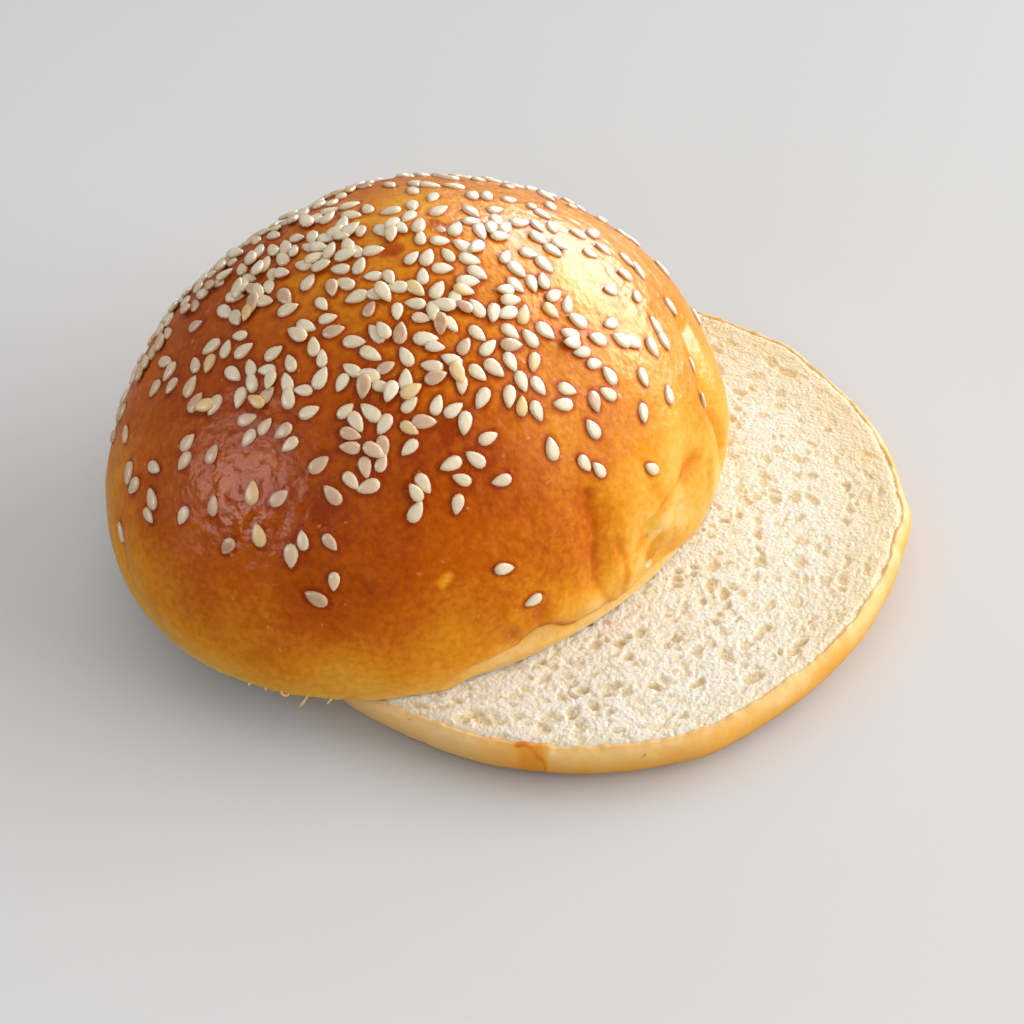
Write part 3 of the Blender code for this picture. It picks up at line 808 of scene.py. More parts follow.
def bend_to_outline(rows, lobes, radius, inset=0.0):
    """Bend a square of size 2 into a lobed outline, and give places in millimetres."""
    disc_x = rows[:, 0] * np.sqrt(1 - rows[:, 1] ** 2 / 2)
    disc_y = rows[:, 1] * np.sqrt(1 - rows[:, 0] ** 2 / 2)
    heading = np.arctan2(disc_y, disc_x)
    outline = lobed(lobes, heading) * radius
    if inset:
        outline -= inset * np.clip(np.interp(np.degrees(heading), BAND_TURNS, BAND_TOPS), 0, 1)
    flat = np.column_stack((disc_x * outline, disc_y * outline, disc_x * 0))
    return np.hypot(disc_x, disc_y), heading, outline, flat


def pits(x, y, radius, count, sizes, depths, chance, scatter):
    """Depth of many oval pits at places x, y in millimetres."""
    depth = np.zeros(len(x))
    for _ in range(count):
        angle, away = chance.uniform(0, 2 * math.pi), radius * math.sqrt(chance.random())
        centre_x, centre_y = away * math.cos(angle), away * math.sin(angle)
        rank = chance.random() ** PIT_RANK
        long = sizes[0] + (sizes[1] - sizes[0]) * rank
        wide = long * chance.uniform(*PIT_WIDTHS)
        lean = angle + math.pi / 2 + chance.gauss(0, scatter)
        deep = (depths[0] + (depths[1] - depths[0]) * rank) * chance.uniform(*PIT_DEPTHS)
        close = np.flatnonzero((np.abs(x - centre_x) < long * 1.4) & (np.abs(y - centre_y) < long * 1.4))
        if not len(close):
            continue
        dx, dy = x[close] - centre_x, y[close] - centre_y
        first = (dx * math.cos(lean) + dy * math.sin(lean)) / long
        second = (dy * math.cos(lean) - dx * math.sin(lean)) / wide
        share = np.hypot(first, second)
        hollow = deep * np.clip(1 - share**2.6, 0, 1)
        depth[close] = np.maximum(depth[close], hollow)
    return depth


def bubbles(rows, size):
    """For each place, how open its bubble is, 0 at its wall, and a share that each bubble draws."""
    opened, drawn = np.zeros(len(rows)), np.zeros(len(rows))
    for index, row in enumerate(rows / size):
        away, centres = noise.voronoi(Vector(row))
        opened[index] = away[1] - away[0]
        drawn[index] = abs(noise.cell(centres[0] * 7.3))
    return smooth(*BUBBLE_WALL, opened), drawn


print("crumb helpers are ready")


# %% [markdown]
# ## The heel's crust
#
# The bottom half is a shallow dish of crust, baked on a tray, so its wall curves out of a
# flat base. It is drawn ring by ring: one circle is extruded outwards and up, then over
# the rim and down inside, and the crumb is laid into it as a piece of its own.

# %% How far the wall stands out
WALL_LAYERS = ((7, 1.0, 0.22), (2.6, 3.0, 0.09), (1.1, 5.0, 0.03))


def wall_bulge(rows):
    """How far knobs and unevenness push the heel's wall out at points of it."""
    bulge = np.zeros(len(rows))
    for turn, rise, width, tallest in HEEL_KNOBS:
        angle = math.radians(turn)
        radius = HEEL_RADIUS * lobed(HEEL_LOBES, angle)
        x, y = radius * math.cos(angle), radius * math.sin(angle)
        away = np.linalg.norm(rows - (x, y, rise * cut_height(x, y)), axis=1) / (width * MM)
        bulge += tallest * MM * np.exp(-away * away)
    return bulge + layered_noise(rows, WALL_LAYERS) * MM


print("knobs:", len(HEEL_KNOBS))

# %% [markdown]
# Each ring is given by its width and its height as shares of the whole, so that the same
# list fits a heel of any size. The circle has a thousand sides, for the drip of glaze and
# the frayed rim need small faces.

# %% A dish, ring by ring
HEEL_SIDES = 1000
WALL_TURNS = range(0, 91, 6)
BASE_RINGS = ((0.75, 0), (0.9, 0))
UPPER_SHARES = (0.15, 0.3, 0.45, 0.6, 0.75, 0.85, 0.93, 1)
RIM_RINGS = ((0.994, 1.0), (0.988, 0.985), (0.98, 0.86), (0.9, 0.74))

rings = list(BASE_RINGS)
for turn in WALL_TURNS:
    turn = math.radians(turn)
    radius = HEEL_RADIUS - HEEL_BASE_INSET + (HEEL_BASE_INSET + HEEL_BULGE) * math.sin(turn)
    rings.append((radius / HEEL_RADIUS, HEEL_WIDEST * (1 - math.cos(turn))))
swing = HEEL_BULGE / HEEL_RADIUS
for share in UPPER_SHARES:
    rings.append((1 + swing * (1 - share**2), HEEL_WIDEST + (1 - HEEL_WIDEST) * share))
rings += RIM_RINGS

deselect()
bpy.ops.mesh.primitive_circle_add(vertices=HEEL_SIDES, radius=rings[0][0], fill_type="NGON")
heel = new_piece("heel_crust")
bpy.ops.object.mode_set(mode="EDIT")
bpy.ops.mesh.select_mode(type="EDGE")
bpy.ops.mesh.select_all(action="DESELECT")
bpy.ops.mesh.select_non_manifold()
for (inner, low), (outer, high) in zip(rings, rings[1:]):
    bpy.ops.mesh.extrude_region_move(TRANSFORM_OT_translate={"value": (0, 0, high - low)})
    bpy.ops.transform.resize(value=(outer / inner, outer / inner, 1), center_override=(0, 0, 0))
bpy.ops.mesh.edge_face_add()
bpy.ops.mesh.select_all(action="SELECT")
bpy.ops.mesh.normals_make_consistent(inside=False)
deselect()
print("rings:", len(rings))

# %% [markdown]
# The round dish now takes the heel's lobed outline and its slanting top, gets its knobs,
# and its rim is frayed where the knife went through.

# %% The dish takes the heel's form
RIM_LAYERS = ((3.2, 6.0, 0.3), (1.2, 7.7, 0.2))
RIM_SETTLE = 0.35
ring_rows = points_of(heel)
share_up = ring_rows[:, 2].copy()
reach = np.hypot(ring_rows[:, 0], ring_rows[:, 1])
heading = np.arctan2(ring_rows[:, 1], ring_rows[:, 0])
stretch = lobed(HEEL_LOBES, heading) * HEEL_RADIUS
wall = np.column_stack((ring_rows[:, 0] * stretch, ring_rows[:, 1] * stretch, share_up * 0))
wall[:, 2] = share_up * cut_height(wall[:, 0], wall[:, 1])
heel_out = np.column_stack((np.cos(heading), np.sin(heading), heading * 0))
wall += heel_out * (wall_bulge(wall) * smooth(0.0, 0.3, share_up))[:, None]
rim_share = smooth(0.85, 1.0, share_up) * (reach > 0.975)
ragged = layered_noise(wall * (1, 1, 0), RIM_LAYERS)
wall[:, 2] += rim_share * (ragged - RIM_SETTLE) * MM
set_points(heel, wall)
heel.data.transform(Matrix.Translation(HEEL_MIDDLE))
note(heel, "height", share_up)
shade(heel, sharp_above=50)
print("heel crust:", count_triangles(heel), "triangles")

# %% [markdown]
# A drip of egg wash ran down the front and dried. It is a stain and not a shape: a value
# on the points says how much of it lies there, most along its lower right edge.

# %% The drip of dried glaze
DRIP_TURNS = (-103.2, -98.0)
DRIP_EDGE = ((0.0, 1.0), (0.45, 0.96), (0.66, 0.86), (0.9, 0.74), (0.95, 0.52), (0.86, 0.33), (0.7, 0.25))
DRIP_LINE = 0.09
DRIP_FILL = 0.75
DRIP_SWAY = ((1.8, 4.0, 0.1),)
DRIP_RISE = ((1.5, 9.0, 0.06),)
PALE_TURNS = (-101, -116)
across = (np.degrees(heading) - DRIP_TURNS[0]) / (DRIP_TURNS[1] - DRIP_TURNS[0])
across += layered_noise(wall, DRIP_SWAY)
up = share_up + layered_noise(wall, DRIP_RISE)
drip = smooth(-0.05, 0.2, across) * smooth(1.1, 0.82, across) * smooth(0.08, 0.4, up) * DRIP_FILL
for start, end in zip(DRIP_EDGE, DRIP_EDGE[1:]):
    run = np.subtract(end, start)
    share = np.clip(((across - start[0]) * run[0] + (up - start[1]) * run[1]) / (run @ run), 0, 1)
    away = np.hypot(across - start[0] - share * run[0], up - start[1] - share * run[1]) / DRIP_LINE
    drip = np.maximum(drip, np.exp(-away * away))
note(heel, "drip", drip)
note(heel, "pale", smooth(*PALE_TURNS, np.degrees(heading)) * (heading < 0))
print("points in the drip:", int((drip > 0.5).sum()))

# %% [markdown]
# The crumb's bubbles come in three sizes. A few hundred drawn pits are the large ones, and
# two sets of cells are the middle and the fine ones, long in the way the dough was rolled.
# At the left and the back the cut is rougher, and to the right it is smooth.

# %% The bubbles of the heel's crumb
CRUMB_GRAIN = 26
CRUMB_DRIFT_X = ((1.8, 1.5, 0.5),)
CRUMB_DRIFT_Y = ((1.8, 8.5, 0.5),)
PIT_WARP_X = ((1.5, 1.5, 0.6), (0.6, 2.5, 0.4))
PIT_WARP_Y = ((1.5, 8.5, 0.6), (0.6, 5.5, 0.4))
PIT_FIELD = 47
PIT_COUNT = 420
PIT_SIZES = (0.5, 1.7)
PIT_DEEP = (0.3, 0.95)
CELL_SIZES = (1.7 * MM, 0.9 * MM)
CELL_DEPTHS = (0.95, 0.38)
FLUFF_PLACES = (-1, -0.35, 0.25, 1)
FLUFF_SHARES = (0.8, 0.72, 0.48, 0.34)

crumb_draw = random.Random(5)
heel_crumb = crumb_sheet("heel_crumb", 300, 280, 0.45, -0.2)
rows = points_of(heel_crumb)
skirt = rows[:, 2] < -0.5
reach, heading, outline, flat = bend_to_outline(rows, HEEL_LOBES, HEEL_RADIUS)
x, y = flat[:, 0] / MM, flat[:, 1] / MM
drawn = np.column_stack((np.hypot(x, y), np.arctan2(y, x) * CRUMB_GRAIN, x * 0)) * MM
drawn[:, 0] += layered_noise(flat, CRUMB_DRIFT_X) * MM
drawn[:, 1] += layered_noise(flat, CRUMB_DRIFT_Y) * MM
gentle = np.interp((x * 0.6 + y * 0.8) * MM / outline, FLUFF_PLACES, FLUFF_SHARES)
cells, cell_depth = bubbles(drawn, CELL_SIZES[0])
fine_cells, fine_depth = bubbles(drawn + 0.2, CELL_SIZES[1])
warped_x = x + layered_noise(flat, PIT_WARP_X)
warped_y = y + layered_noise(flat, PIT_WARP_Y)
large = pits(warped_x, warped_y, PIT_FIELD, PIT_COUNT, PIT_SIZES, PIT_DEEP, crumb_draw, 0.35)
inner = 1 - smooth(0.93, 0.995, reach)
depth = np.maximum(large * inner, cells * cell_depth**2.5 * CELL_DEPTHS[0] * (0.3 + 0.7 * inner))
depth = np.maximum(depth, fine_cells * fine_depth**2 * CELL_DEPTHS[1]) * gentle
print("pits down to", round(float(depth.max()), 2), "mm")

# %% [markdown]
# Between the bubbles the cut is torn fluff, a noise with sharp folds. All of it goes into
# one height for each point, and at the rim the sheet follows the wall's knobs and frays.

# %% The heel's crumb
FLUFF_RIDGES = ((1.1, 2.2, 0.2), (0.6, 4.2, 0.22))
FLUFF_LAYERS = ((0.36, 6.6, 0.1),)
SLOW_LAYERS = ((9, 9.1, 0.22),)
FRAY_LAYERS = ((2.2, 3.3, 0.3),)
FRAY_RIDGES = ((0.9, 5.3, 0.5),)
FRAY_BACK = 0.3
SKIRT_DEPTH = 2.6
BORDER_LAYERS = ((5, 4.7, 0.2),)
fluff = (layered_noise(drawn, FLUFF_RIDGES, ridged=True) + layered_noise(flat, FLUFF_LAYERS)) * gentle
slow = layered_noise(flat, SLOW_LAYERS)
top = slow * inner - depth - fluff - 0.5 * smooth(0.975, 1.0, reach)
level = cut_height(flat[:, 0], flat[:, 1])
rim_at = np.column_stack((np.cos(heading) * outline, np.sin(heading) * outline, level))
frayed = layered_noise(rim_at, FRAY_LAYERS) + layered_noise(rim_at, FRAY_RIDGES, ridged=True) - FRAY_BACK
edge_push = (wall_bulge(rim_at) + frayed * MM) * smooth(0.9, 1, reach)
outer = np.column_stack((np.cos(heading), np.sin(heading)))
placed = flat[:, :2] + outer * edge_push[:, None]
heights = np.where(skirt, level - SKIRT_DEPTH * MM, level + top * MM)
set_points(heel_crumb, np.column_stack((placed, heights)))
heel_crumb.data.transform(Matrix.Translation(HEEL_MIDDLE))
# The pit_shade value paints shade: deeper places of the crumb get a darker, warmer colour.
note(heel_crumb, "pit_shade", np.where(skirt, 0.3, np.clip(depth / gentle + fluff * 0.5, 0, 1)))
far_right = smooth(-0.5, 0.9, np.cos(heading - 0.6))
border = layered_noise(flat, BORDER_LAYERS) * far_right
warmed = smooth(0.9 - 0.28 * far_right, 1.02, reach + 0.25 * border) * (0.35 + 0.5 * far_right)
note(heel_crumb, "warm", warmed)
shade(heel_crumb)
print("heel crumb:", count_triangles(heel_crumb), "triangles")

# %% [markdown]
# The crown has the same crumb on its own cut face. It looks down, so the sheet is turned
# over, and it is coarser, because it is only seen from below.

# %% The crown's crumb
UNDER_WARP = ((1.7, 11.5, 0.45),)
UNDER_RIDGES = ((1.3, 12.2, 0.3), (0.8, 14.2, 0.2))
UNDER_SKIRT = 3.0
under_draw = random.Random(8)
crown_crumb = crumb_sheet("crown_crumb", 170, 170, 0, 0)
rows = points_of(crown_crumb)
skirt = rows[:, 2] < -0.5
reach, heading, outline, flat = bend_to_outline(rows, CROWN_LOBES, CROWN_RADIUS * 0.98, LIP_STEP)
x, y = flat[:, 0] / MM, flat[:, 1] / MM
warp = layered_noise(flat, UNDER_WARP)
large = pits(x + warp, y + warp, 43, 420, (0.7, 2.0), (0.5, 1.3), under_draw, 0.5)
small = pits(x + warp, y - warp, 44, 1500, (0.4, 0.9), (0.2, 0.6), under_draw, 0.9)
depth = np.maximum(large, small) * (1 - smooth(0.93, 0.995, reach))
fluff = layered_noise(flat, UNDER_RIDGES, ridged=True)
heights = np.where(skirt, UNDER_SKIRT, 0.02 + depth + fluff) * MM
set_points(crown_crumb, np.column_stack((flat[:, :2], heights)))
bpy.ops.object.mode_set(mode="EDIT")
bpy.ops.mesh.select_all(action="SELECT")
bpy.ops.mesh.flip_normals()
deselect()
crown_crumb.data.transform(CROWN_PLACE)
# On the crown's crumb too, pit_shade paints the shade of its bubbles and its skirt.
note(crown_crumb, "pit_shade", np.where(skirt, 1, np.clip((depth + fluff * 0.5) / 1.2, 0, 1)))
note(crown_crumb, "warm", smooth(0.9, 1.0, reach) * 0.5)
shade(crown_crumb)
print("crown crumb:", count_triangles(crown_crumb), "triangles")

# %% [markdown]
# ## Torn crumb
#
# A knife doesn't cut soft bread clean. It leaves short curled threads and flecks on the
# cut, and a few strands hang from the crown's lower edge. One thread is a thin tapered
# rod of few faces, bent by a rule. The threads are copied with their own size and turn.

# %% One thread
THREAD_LENGTH = 1.5 * MM
THREAD_THICK = 0.085 * MM
THREAD_CUTS = (-0.17, 0.17)
THREAD_TAPER = 0.65

deselect()
bpy.ops.mesh.primitive_cone_add(vertices=4, radius1=0.5, radius2=0.5, depth=1, end_fill_type="TRIFAN")
thread = new_piece("thread")
bpy.ops.object.mode_set(mode="EDIT")
for cut in THREAD_CUTS:
    bpy.ops.mesh.select_all(action="SELECT")
    bpy.ops.mesh.bisect(plane_co=(0, 0, cut), plane_no=(0, 0, 1))
deselect()
thread_rows = points_of(thread)
thread_faces = [tuple(face.vertices) for face in thread.data.polygons]
bpy.data.objects.remove(thread)
print("one thread:", len(thread_faces), "faces")


def lay_threads(name, places):
    """Copy the thread to places given as a point, a direction, a length, a thickness and a curl."""
    points, faces = [], []
    for spot, along, length, thick, curl in places:
        lie = along.to_track_quat("Z", "Y").to_matrix()
        first = len(points)
        for x, y, z in thread_rows:
            taper = 1 - THREAD_TAPER * abs(2 * z) ** 2
            bow = curl * length * (0.25 - z * z)
            points.append(spot + lie @ Vector((x * thick * taper + bow, y * thick * taper, z * length)))
        faces += [tuple(first + corner for corner in face) for face in thread_faces]
    mesh = bpy.data.meshes.new(name)
    mesh.from_pydata(points, [], faces)
    piece = bpy.data.objects.new(name, mesh)
    scene.collection.objects.link(piece)
    mesh.shade_smooth()
    return piece


# %% [markdown]
# The threads are strewn over the cut by a seeded random rule, long in the way the dough
# was rolled. A ray from above finds the height of the crumb under each. Hardly any lie
# where the crown covers the cut.

# %% Threads on the cut
FLUFF_COUNT = 1200
FLUFF_LENGTHS = (0.5, 1.2)
FLUFF_THICKS = (0.6, 1.5)
FLUFF_LEAN = 0.6
FLUFF_TILTS = (-0.1, 0.5)
FLUFF_CURLS = (-0.9, 0.9)
COVERED_SKIP = 0.96
THREAD_RAY = 30 * MM
thread_draw = random.Random(31)
crumb_surface = ray_surface(points_of(heel_crumb), heel_crumb)
fluff_places = []
while len(fluff_places) < FLUFF_COUNT:
    angle = thread_draw.uniform(0, 2 * math.pi)
    away = math.sqrt(thread_draw.random()) * 0.985
    radius = HEEL_RADIUS * float(lobed(HEEL_LOBES, angle)) * away
    spot = HEEL_MIDDLE + Vector((radius * math.cos(angle), radius * math.sin(angle), 0))
    length, thick = thread_draw.uniform(*FLUFF_LENGTHS), thread_draw.uniform(*FLUFF_THICKS)
    lean, tilt = thread_draw.gauss(0, FLUFF_LEAN), thread_draw.uniform(*FLUFF_TILTS)
    curl = thread_draw.uniform(*FLUFF_CURLS)
    under_crown = (spot - CROWN_PLACE.translation).to_2d().length < CROWN_RADIUS * 0.97
    if under_crown and thread_draw.random() < COVERED_SKIP:
        continue
    hit, _, _, _ = crumb_surface.ray_cast(spot + Vector((0, 0, THREAD_RAY)), Vector((0, 0, -1)))
    if hit is None:
        continue
    heading = angle + math.pi / 2 + lean
    along = Vector((math.cos(heading), math.sin(heading), tilt))
    fluff_places.append((hit, along, THREAD_LENGTH * length, THREAD_THICK * thick, curl))
fluff = lay_threads("crumb_threads", fluff_places)
print("crumb threads:", len(fluff_places), "with", count_triangles(fluff), "triangles")

# %% [markdown]
# At the crown's lower front edge a few strands of crust were torn off and hang down. They
# are the same thread, thicker, and one curled into a small loop, which starts as a ring.

# %% Strands at the crown's edge
STRANDS = (
    (-109.2, 2.9, 0.6, -0.6),
    (-104.8, 1.5, 0.55, -0.65),
    (-117, 0.8, 0.5, 0.1),
    (-120, 0.7, 0.5, -0.3),
)
STRAND_SINK = 0.32
STRAND_CURL = 0.35
LOOP_TURN = -113.2
LOOP_RADIUS = 0.6 * MM
LOOP_THICK = 0.2 * MM
LOOP_LEAN = 50
LOOP_SHIFT = Vector((0, 0.1, 0.05)) * MM
strand_places = []
for turn, length, thick, lean in STRANDS:
    foot = CROWN_PLACE @ Vector(on_crown(turn, 0.4))
    along = Vector((lean, -0.3, -0.8)).normalized()
    start = foot + along * length * STRAND_SINK * MM
    strand_places.append((start, along, length * MM, thick * MM, STRAND_CURL))
strands = lay_threads("torn_strands", strand_places)
deselect()
bpy.ops.mesh.primitive_torus_add(
    major_segments=14, minor_segments=6, major_radius=LOOP_RADIUS, minor_radius=LOOP_THICK
)
loop = new_piece("torn_loop")
loop_place = CROWN_PLACE @ Vector(on_crown(LOOP_TURN, 0.2)) + LOOP_SHIFT
loop.data.transform(Matrix.Translation(loop_place) @ Matrix.Rotation(math.radians(LOOP_LEAN), 4, "X"))
loop.location = (0, 0, 0)
strands.select_set(True)
bpy.context.view_layer.objects.active = strands
bpy.ops.object.join()
bpy.ops.object.shade_smooth()
print("strands:", len(strand_places), "and a loop")

# %% [markdown]
# ## Node groups
#
# Three effects are used by several materials, so each is built once as a group of nodes:
# soft mottling, small specks, and the fine grain that the light catches. Their numbers are
# inputs, so that each material can set its own scale.

# %% Helpers for nodes
def add_node(tree, kind, inputs=None, **settings):
    """Add a node, with its settings, and values or links for its inputs."""
    made = tree.nodes.new(kind)
    for name, value in settings.items():
        setattr(made, name, value)
    for name, value in (inputs or {}).items():
        if isinstance(value, bpy.types.NodeSocket):
            tree.links.new(value, made.inputs[name])
        else:
            made.inputs[name].default_value = value
    return made


def maths(tree, operation, first, second=0.0, clamp=False):
    """One sum of two values."""
    made = add_node(tree, "ShaderNodeMath", {0: first, 1: second}, operation=operation, use_clamp=clamp)
    return made.outputs[0]


def spread(tree, value, low, high, to_low=0.0, to_high=1.0):
    """Stretch a value from one range to another, with soft ends."""
    numbers = {"Value": value, "From Min": low, "From Max": high, "To Min": to_low, "To Max": to_high}
    return add_node(tree, "ShaderNodeMapRange", numbers, interpolation_type="SMOOTHSTEP").outputs[0]


def blend_colours(tree, share, first, second, how="MIX"):
    """Mix two colours by a share."""
    made = add_node(tree, "ShaderNodeMix", data_type="RGBA", blend_type=how)
    for slot, value in ((0, share), (6, first), (7, second)):
        if isinstance(value, bpy.types.NodeSocket):
            tree.links.new(value, made.inputs[slot])
        else:
            made.inputs[slot].default_value = value if slot == 0 else (*value, 1)
    return made.outputs[2]


def ramp(tree, value, stops):
    """A run of colours along a value."""
    made = add_node(tree, "ShaderNodeValToRGB", {"Fac": value})
    band = made.color_ramp
    while len(band.elements) < len(stops):
        band.elements.new(0.5)
    for element, (place, colour) in zip(band.elements, stops):
        element.position = place
        element.color = (*colour, 1)
    return made.outputs["Color"]


def tint(tree, colour, mask, share, added):
    """Lay another colour over one, by a mask and at most by a share."""
    return blend_colours(tree, maths(tree, "MULTIPLY", mask, share), colour, added)


def sway(tree, value, mask, most, clamp=False):
    """Shift a value up and down with a mask, over a range in all."""
    shift = maths(tree, "MULTIPLY", maths(tree, "SUBTRACT", mask, 0.5), most)
    return maths(tree, "ADD", value, shift, clamp)


def new_group(name, inputs, output):
    """An empty node group with float inputs after a vector, and one float output."""
    group = bpy.data.node_groups.new(name, "ShaderNodeTree")
    group.interface.new_socket("Vector", in_out="INPUT", socket_type="NodeSocketVector")
    for label, value in inputs:
        made = group.interface.new_socket(label, in_out="INPUT", socket_type="NodeSocketFloat")
        made.default_value = value
    group.interface.new_socket(output, in_out="OUTPUT", socket_type="NodeSocketFloat")
    return group, group.nodes.new("NodeGroupInput"), group.nodes.new("NodeGroupOutput")


def use_group(tree, group, vector, **values):
    """Place a group in a material and return its output."""
    made = add_node(tree, "ShaderNodeGroup", node_tree=group)
    tree.links.new(vector, made.inputs["Vector"])
    for name, value in values.items():
        made.inputs[name].default_value = value
    return made.outputs[0]


def scaled_texture(tree, kind, start, vector=None, **values):
    """A texture whose place and scale come from the inputs of its group."""
    inputs = {"Vector": vector or start.outputs["Vector"], "Scale": start.outputs["Size"], **values}
    return add_node(tree, kind, inputs)


print("node helpers are ready")

# %% [markdown]
# Mottling is a cloudy noise with soft ends. The specks are the middles of cells, bent a
# little so that they aren't round, and only some cells get one. The grain adds a fine
# noise and small pits, and feeds relief that only the light sees.

# %% Mottle, specks and grain
mottle, start, end = new_group("bread_mottle", (("Size", 100.0), ("Low", 0.35), ("High", 0.65)), "Mask")
cloud = scaled_texture(mottle, "ShaderNodeTexNoise", start, Detail=3.5, Roughness=0.6)
mask = spread(mottle, cloud.outputs["Fac"], start.outputs["Low"], start.outputs["High"])
mottle.links.new(mask, end.inputs["Mask"])

SPECK_BEND = 0.0022
SPECK_SOFTNESS = 0.12
specks, start, end = new_group("bread_specks", (("Size", 400.0), ("Rarity", 0.7), ("Radius", 0.3)), "Mask")
bend = scaled_texture(specks, "ShaderNodeTexNoise", start, Detail=1.0)
bent = add_node(specks, "ShaderNodeVectorMath", operation="MULTIPLY_ADD")
specks.links.new(bend.outputs["Color"], bent.inputs[0])
bent.inputs[1].default_value = (SPECK_BEND, SPECK_BEND, SPECK_BEND)
specks.links.new(start.outputs["Vector"], bent.inputs[2])
cells = scaled_texture(specks, "ShaderNodeTexVoronoi", start, bent.outputs[0])
near = maths(specks, "SUBTRACT", start.outputs["Radius"], cells.outputs["Distance"])
dot = spread(specks, near, 0.0, SPECK_SOFTNESS)
pick = add_node(specks, "ShaderNodeSeparateColor", {"Color": cells.outputs["Color"]})
chosen = maths(specks, "GREATER_THAN", pick.outputs["Red"], start.outputs["Rarity"])
specks.links.new(maths(specks, "MULTIPLY", dot, chosen), end.inputs["Mask"])

grain, start, end = new_group("bread_grain", (("Size", 900.0), ("Share", 0.5)), "Height")
fine = scaled_texture(grain, "ShaderNodeTexNoise", start, Detail=2.5)
pitted = scaled_texture(grain, "ShaderNodeTexVoronoi", start)
both = maths(grain, "MULTIPLY", pitted.outputs["Distance"], start.outputs["Share"])
grain.links.new(maths(grain, "ADD", fine.outputs["Fac"], both), end.inputs["Height"])
print("groups:", [group.name for group in bpy.data.node_groups])

# %% [markdown]
# ## Glazed crust
#
# Egg wash gives the crown its shine. The colour runs with the bake_and_shading value, from
# pale dough through gold and amber to deep chestnut. Mottling breaks it up, small pale
# blisters and the painted shade of dark pores sit on it, and the shine is uneven. Only the
# crinkled patch, where the wash dried thick, has a thin clear coat of its own. First, three
# helpers for all materials.

# %% Helpers for materials
def start_material(name):
    """A material with its Principled shader, and the place on the piece."""
    made = bpy.data.materials.new(name)
    made.use_nodes = True
    tree = made.node_tree
    shader = tree.nodes["Principled BSDF"]
    place = tree.nodes.new("ShaderNodeTexCoord").outputs["Object"]
    return made, tree, shader, place


def attribute(tree, name):
    """A value that was noted on the points of a piece."""
    return add_node(tree, "ShaderNodeAttribute", attribute_name=name).outputs["Fac"]


def finish(tree, shader, colour, relief, strength, depth, **uniform):
    """Give a shader its colour, its fine relief and the inputs that are the same all over."""
    tree.links.new(colour, shader.inputs["Base Color"])
    bump = add_node(tree, "ShaderNodeBump", {"Height": relief, "Strength": strength, "Distance": depth})
    tree.links.new(bump.outputs["Normal"], shader.inputs["Normal"])
    for name, value in uniform.items():
        shader.inputs[name.replace("_", " ")].default_value = value


print("material helpers are ready")

# %% [markdown]
# The bake_and_shading value is swayed by a broad and a fine mottle before it picks its
# colour, so the gold runs into the brown in an uneven way, as glaze does.

# %% Crown crust material
BAKE_COLOURS = (
    (0.0, (0.88, 0.57, 0.21)),
    (0.22, (0.89, 0.45, 0.055)),
    (0.45, (0.80, 0.29, 0.010)),
    (0.72, (0.56, 0.115, 0.0015)),
    (1.0, (0.33, 0.040, 0.001)),
)
BLISTER_COLOUR = (0.90, 0.50, 0.14)
PORE_SHADE_COLOUR = (0.30, 0.07, 0.01)
GLOSS_RANGE = (0.3, 0.42)
CRINKLE_GLOSS = 0.15
CRINKLE_COAT = 0.04
glazed, tree, shader, place = start_material("glazed_crust")
# The bake_and_shading value holds painted light on the right and painted shade round the seeds.
bake_and_shading = attribute(tree, "bake_and_shading")
broad = use_group(tree, mottle, place, Size=85.0, Low=0.3, High=0.7)
close = use_group(tree, mottle, place, Size=900.0, Low=0.3, High=0.7)
bake_and_shading = sway(tree, bake_and_shading, broad, 0.1)
bake_and_shading = sway(tree, bake_and_shading, close, 0.13, clamp=True)
colour = ramp(tree, bake_and_shading, BAKE_COLOURS)
blisters = use_group(tree, specks, place, Size=600.0, Rarity=0.84, Radius=0.2)
colour = tint(tree, colour, blisters, 0.35, BLISTER_COLOUR)
# Painted shade: dark specks stand in for pores too small to model.
pore_shade = use_group(tree, specks, place, Size=620.0, Rarity=0.9, Radius=0.2)
colour = tint(tree, colour, pore_shade, 0.35, PORE_SHADE_COLOUR)
shine = use_group(tree, mottle, place, Size=140.0, Low=0.3, High=0.7)
crinkle = attribute(tree, "crinkle")
dull = spread(tree, shine, 0, 1, *GLOSS_RANGE)
dull = maths(tree, "SUBTRACT", dull, maths(tree, "MULTIPLY", crinkle, CRINKLE_GLOSS))
tree.links.new(dull, shader.inputs["Roughness"])
tree.links.new(maths(tree, "MULTIPLY", crinkle, CRINKLE_COAT), shader.inputs["Coat Weight"])
fine_grain = use_group(tree, grain, place, Size=1100.0, Share=0.6)
wrinkle = use_group(tree, grain, place, Size=400.0, Share=0.8)
relief = maths(tree, "ADD", fine_grain, maths(tree, "MULTIPLY", wrinkle, 2.0))
glaze_shine = {"Specular_IOR_Level": 0.15, "Specular_Tint": (1.0, 0.8, 0.66, 1.0), "Coat_Roughness": 0.14}
finish(tree, shader, colour, relief, 0.6, 0.14 * MM, **glaze_shine)
crown.data.materials.append(glazed)
print("material:", glazed.name)

# %% [markdown]
# ## Heel crust, crumb, seeds and threads
#
# The heel baked on the tray without glaze, so it is matt and golden, browner at the base
# and dusted with specks. A drip of egg wash dried on its front.

